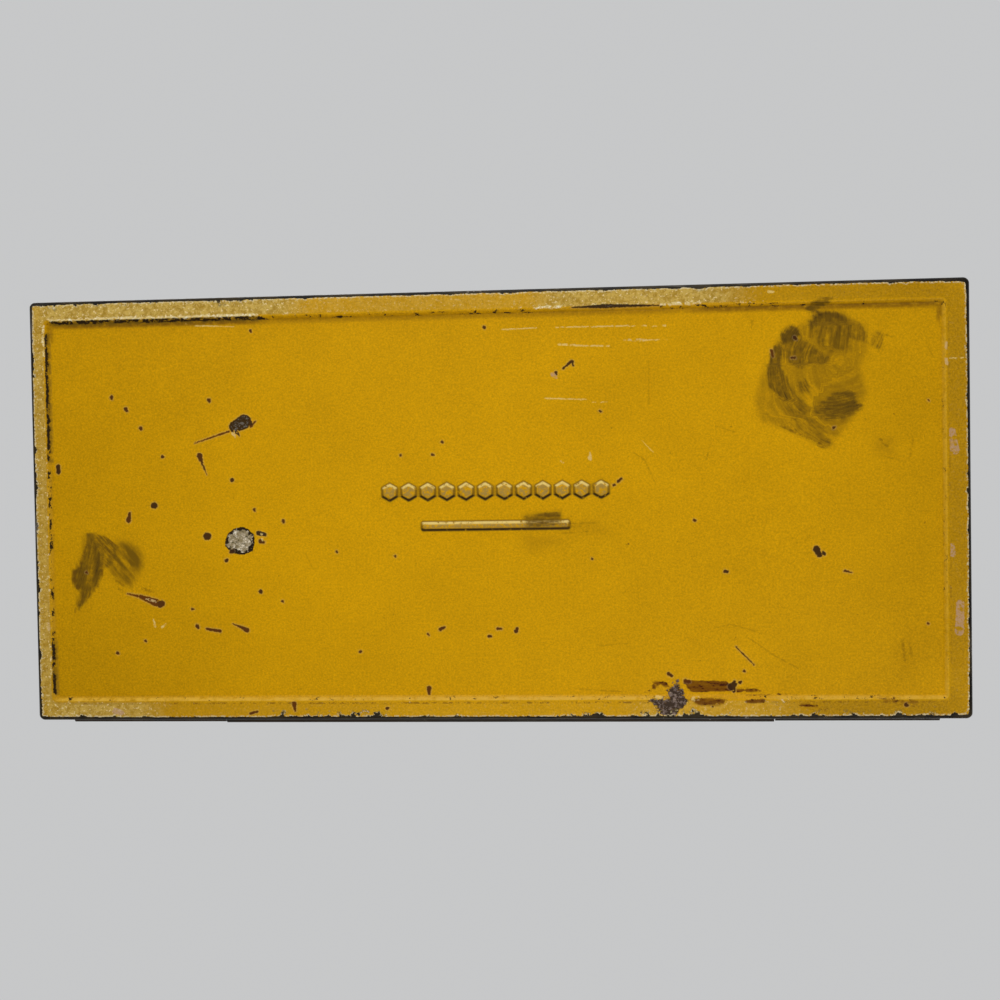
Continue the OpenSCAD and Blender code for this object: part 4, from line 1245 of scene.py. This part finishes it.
# Lid: made the same way and turned over. Over the hinge its skirt ends at the knuckles' strips
STRIP_RISE = 1.2
lid_corner = CORNER + OVERHANG
lid_xs = grid_lines(REACH_X, LID_GAP, STEP_BAND_X, (*MIDDLE_CUTS, -HINGE_CUT, HINGE_CUT))
lid_ys = grid_lines(REACH_Y, LID_GAP, STEP_BAND_Y)
middle_depth = HEIGHT - (flange_top + SKIRT_GAP)
strip_top = HINGE_Z + STRIP_RISE
lid_points, lid_faces, lid_hidden = pan(
    lid_xs, lid_ys, lid_floor, lid_corner, SKIRT_DEPTH,
    [(HINGE_CUT, HEIGHT - strip_top), (MIDDLE_CUT, middle_depth)], HINGE_CUT, LID_THIN_BELOW)
lid_rise = lid_points[:, 2].copy()
lid_points[:, 2] = HEIGHT - lid_points[:, 2]
lid_mesh = make_piece("lid_shell", lid_points, lid_faces[:, ::-1], "lid",
                      [black_and_yellow, tinplate], "lid", lid_hidden)
keep_edges(lid_mesh, lid_points, LENGTH / 2 + OVERHANG, WIDTH / 2 + OVERHANG, lid_corner, lid_rise, 0.0)


def hinge_arc(start, end, radius):
    """Points of a (y, z) arc round the pin's axis between two angles in degrees."""
    turn = np.radians(np.linspace(start, end, 40))
    return np.stack([HINGE_Y + radius * np.cos(turn), HINGE_Z + radius * np.sin(turn)], axis=1)


# Knuckles: the tray's sheet goes out over the wire and round it, the lid's comes down and under it
flange_y = np.linspace(WIDTH / 2 - SHEET, HINGE_Y, 8)[:-1]
flange = np.stack([flange_y, np.full(flange_y.size, HINGE_Z + MIDDLE_ROLL)], axis=1)
rolled_over = np.concatenate([flange, hinge_arc(90.0, -200.0, MIDDLE_ROLL)])
points, faces = rolled_strip(rolled_over, MIDDLE_KNUCKLE / 2, 0.0, 60)
make_piece("tray_knuckle", points, faces, "tray", [rolled_black], "tray")

drop = np.linspace(strip_top, HINGE_Z, 9)[:-1]
skirt_y = WIDTH / 2 + OVERHANG - SHEET / 2
shift = smooth(strip_top, HINGE_Z, drop) * (HINGE_Y - ROLL - skirt_y)
rolled_under = np.concatenate([np.stack([skirt_y + shift, drop], axis=1), hinge_arc(180.0, 455.0, ROLL)])
for name, side in (("lid_knuckle_left", -1), ("lid_knuckle_right", 1)):
    middle = side * (HINGE_LENGTH - OUTER_KNUCKLE) / 2
    points, faces = rolled_strip(rolled_under, OUTER_KNUCKLE / 2, middle, 20)
    make_piece(name, points, faces, "lid", [rolled_black], "lid")

points, faces = turned_wire(PIN_LENGTH / 2, PIN_RADIUS)
make_piece("hinge_wire", points, faces, "tray", [wire_finish()], "hinge_pin")


# Camera: beneath the tin, looking up, with the image's top towards the tin's front
FOCAL = 50.4
SENSOR = 36.0
NEAREST = 0.01
EYE = (26.0, -8.0, -281.0)
TARGET = (2.2, -1.1, 0.0)
ROLL_ANGLE = np.radians(0.96)
on_tin = Vector((0.0, CENTRING, 0.0))
eye, target = (Vector(EYE) + on_tin) * MM, (Vector(TARGET) + on_tin) * MM
ahead = (target - eye).normalized()
level_right = ahead.cross(Vector((0.0, -1.0, 0.0))).normalized()
level_up = level_right.cross(ahead)
camera_up = level_up * np.cos(ROLL_ANGLE) + level_right * np.sin(ROLL_ANGLE)
camera_right = ahead.cross(camera_up).normalized()
camera_data = bpy.data.cameras.new("camera")
camera_data.lens = FOCAL
camera_data.sensor_width = SENSOR
camera_data.clip_start = NEAREST
camera = add_object("camera", camera_data)
axes = Matrix((camera_right, camera_up, -ahead)).transposed()
camera.matrix_world = Matrix.Translation(eye) @ axes.to_4x4()
bpy.context.scene.camera = camera


def softbox(name, place, size, power):
    """A square area lamp that faces the tin."""
    data = bpy.data.lights.new(name, "AREA")
    data.size, data.energy = size, power
    lamp = add_object(name, data)
    lamp.location = place
    lamp.rotation_mode = "QUATERNION"
    lamp.rotation_quaternion = (-Vector(place)).to_track_quat("-Z", "Y")
    lamp.visible_camera = False


# Two softboxes below for the flat face, one from the image's top for its ridges, and two above
softbox("under_key", (-0.10, -0.52, -0.62), 0.5, 3.4)
softbox("under_fill", (0.15, 0.50, -0.60), 0.5, 2.0)
softbox("front_strip", (0.0, -0.60, -0.05), 0.3, 1.0)
softbox("top_key", (-0.45, -0.55, 0.80), 0.6, 4.6)
softbox("top_fill", (0.60, 0.45, 0.60), 0.7, 2.6)

FLOOR_GREY = (0.60, 0.60, 0.60)
BACKGROUND = (0.57, 0.575, 0.58)
FLOOR_REACH = 12.0
FLOOR_DROP = 0.3
FADE_START = 0.15
FADE_END = 0.8
floor_mesh = bpy.data.meshes.new("floor")
corners = [(side_x * FLOOR_REACH, side_y * FLOOR_REACH, -FLOOR_DROP * MM)
           for side_x, side_y in ((-1, -1), (1, -1), (1, 1), (-1, 1))]
floor_mesh.from_pydata(corners, [], [(0, 1, 2, 3)])
floor = add_object("floor", floor_mesh)
floor.visible_shadow = False
floor.visible_diffuse = False
floor.visible_glossy = False
floor.visible_transmission = False


def floor_finish():
    """Pale paper that turns into the background's colour further off, and nothing at all from beneath."""
    material = bpy.data.materials.new("pale_floor")
    material.use_nodes = True
    tree = material.node_tree
    paper = tree.nodes["Principled BSDF"]
    for name, value in (("Base Color", FLOOR_GREY), ("Roughness", 0.9), ("Specular IOR Level", 0.1)):
        put(tree, paper.inputs[name], value)
    far = add_node(tree, "Emission", {"Color": BACKGROUND})
    place = add_node(tree, "TexCoord").outputs["Object"]
    away = add_node(tree, "VectorMath", {0: place}, operation="LENGTH").outputs["Value"]
    inputs = {"Value": away, "From Min": FADE_START, "From Max": FADE_END}
    fade = add_node(tree, "MapRange", inputs, interpolation_type="SMOOTHSTEP").outputs[0]
    seen = add_node(tree, "MixShader", {0: fade, 1: paper.outputs[0], 2: far.outputs[0]})
    clear = add_node(tree, "BsdfTransparent")
    side = add_node(tree, "NewGeometry").outputs["Backfacing"]
    choice = add_node(tree, "MixShader", {0: side, 1: seen.outputs[0], 2: clear.outputs[0]})
    put(tree, tree.nodes["Material Output"].inputs["Surface"], choice.outputs[0])
    return material


floor_mesh.materials.append(floor_finish())

# World: weak light all round, and a pale background, dark far below, where it is seen or mirrored
WORLD_LIGHT = 0.28
BELOW = (0.03, 0.03, 0.03)
BELOW_END = -0.35
LEVEL_START = -0.05
world = bpy.data.worlds.new("studio")
bpy.context.scene.world = world
world.use_nodes = True
tree = world.node_tree
lighting = tree.nodes["Background"]
put(tree, lighting.inputs["Color"], (1.0, 1.0, 1.0))
put(tree, lighting.inputs["Strength"], WORLD_LIGHT)
direction = add_node(tree, "TexCoord").outputs["Generated"]
upwards = add_node(tree, "SeparateXYZ", {0: direction}).outputs[2]
height = add_node(tree, "MapRange", {"Value": upwards, "From Min": BELOW_END, "From Max": LEVEL_START})
seen = add_node(tree, "Background", {"Color": mix(tree, height.outputs[0], BELOW, BACKGROUND)})
path = add_node(tree, "LightPath")
total = path.outputs["Is Camera Ray"]
for kind in ("Is Glossy Ray", "Is Transmission Ray"):
    total = add_node(tree, "Math", {0: total, 1: path.outputs[kind]}, operation="MAXIMUM").outputs[0]
choice = add_node(tree, "MixShader", {0: total, 1: lighting.outputs[0], 2: seen.outputs[0]})
put(tree, tree.nodes["World Output"].inputs["Surface"], choice.outputs[0])

bpy.context.scene.view_settings.view_transform = "Standard"
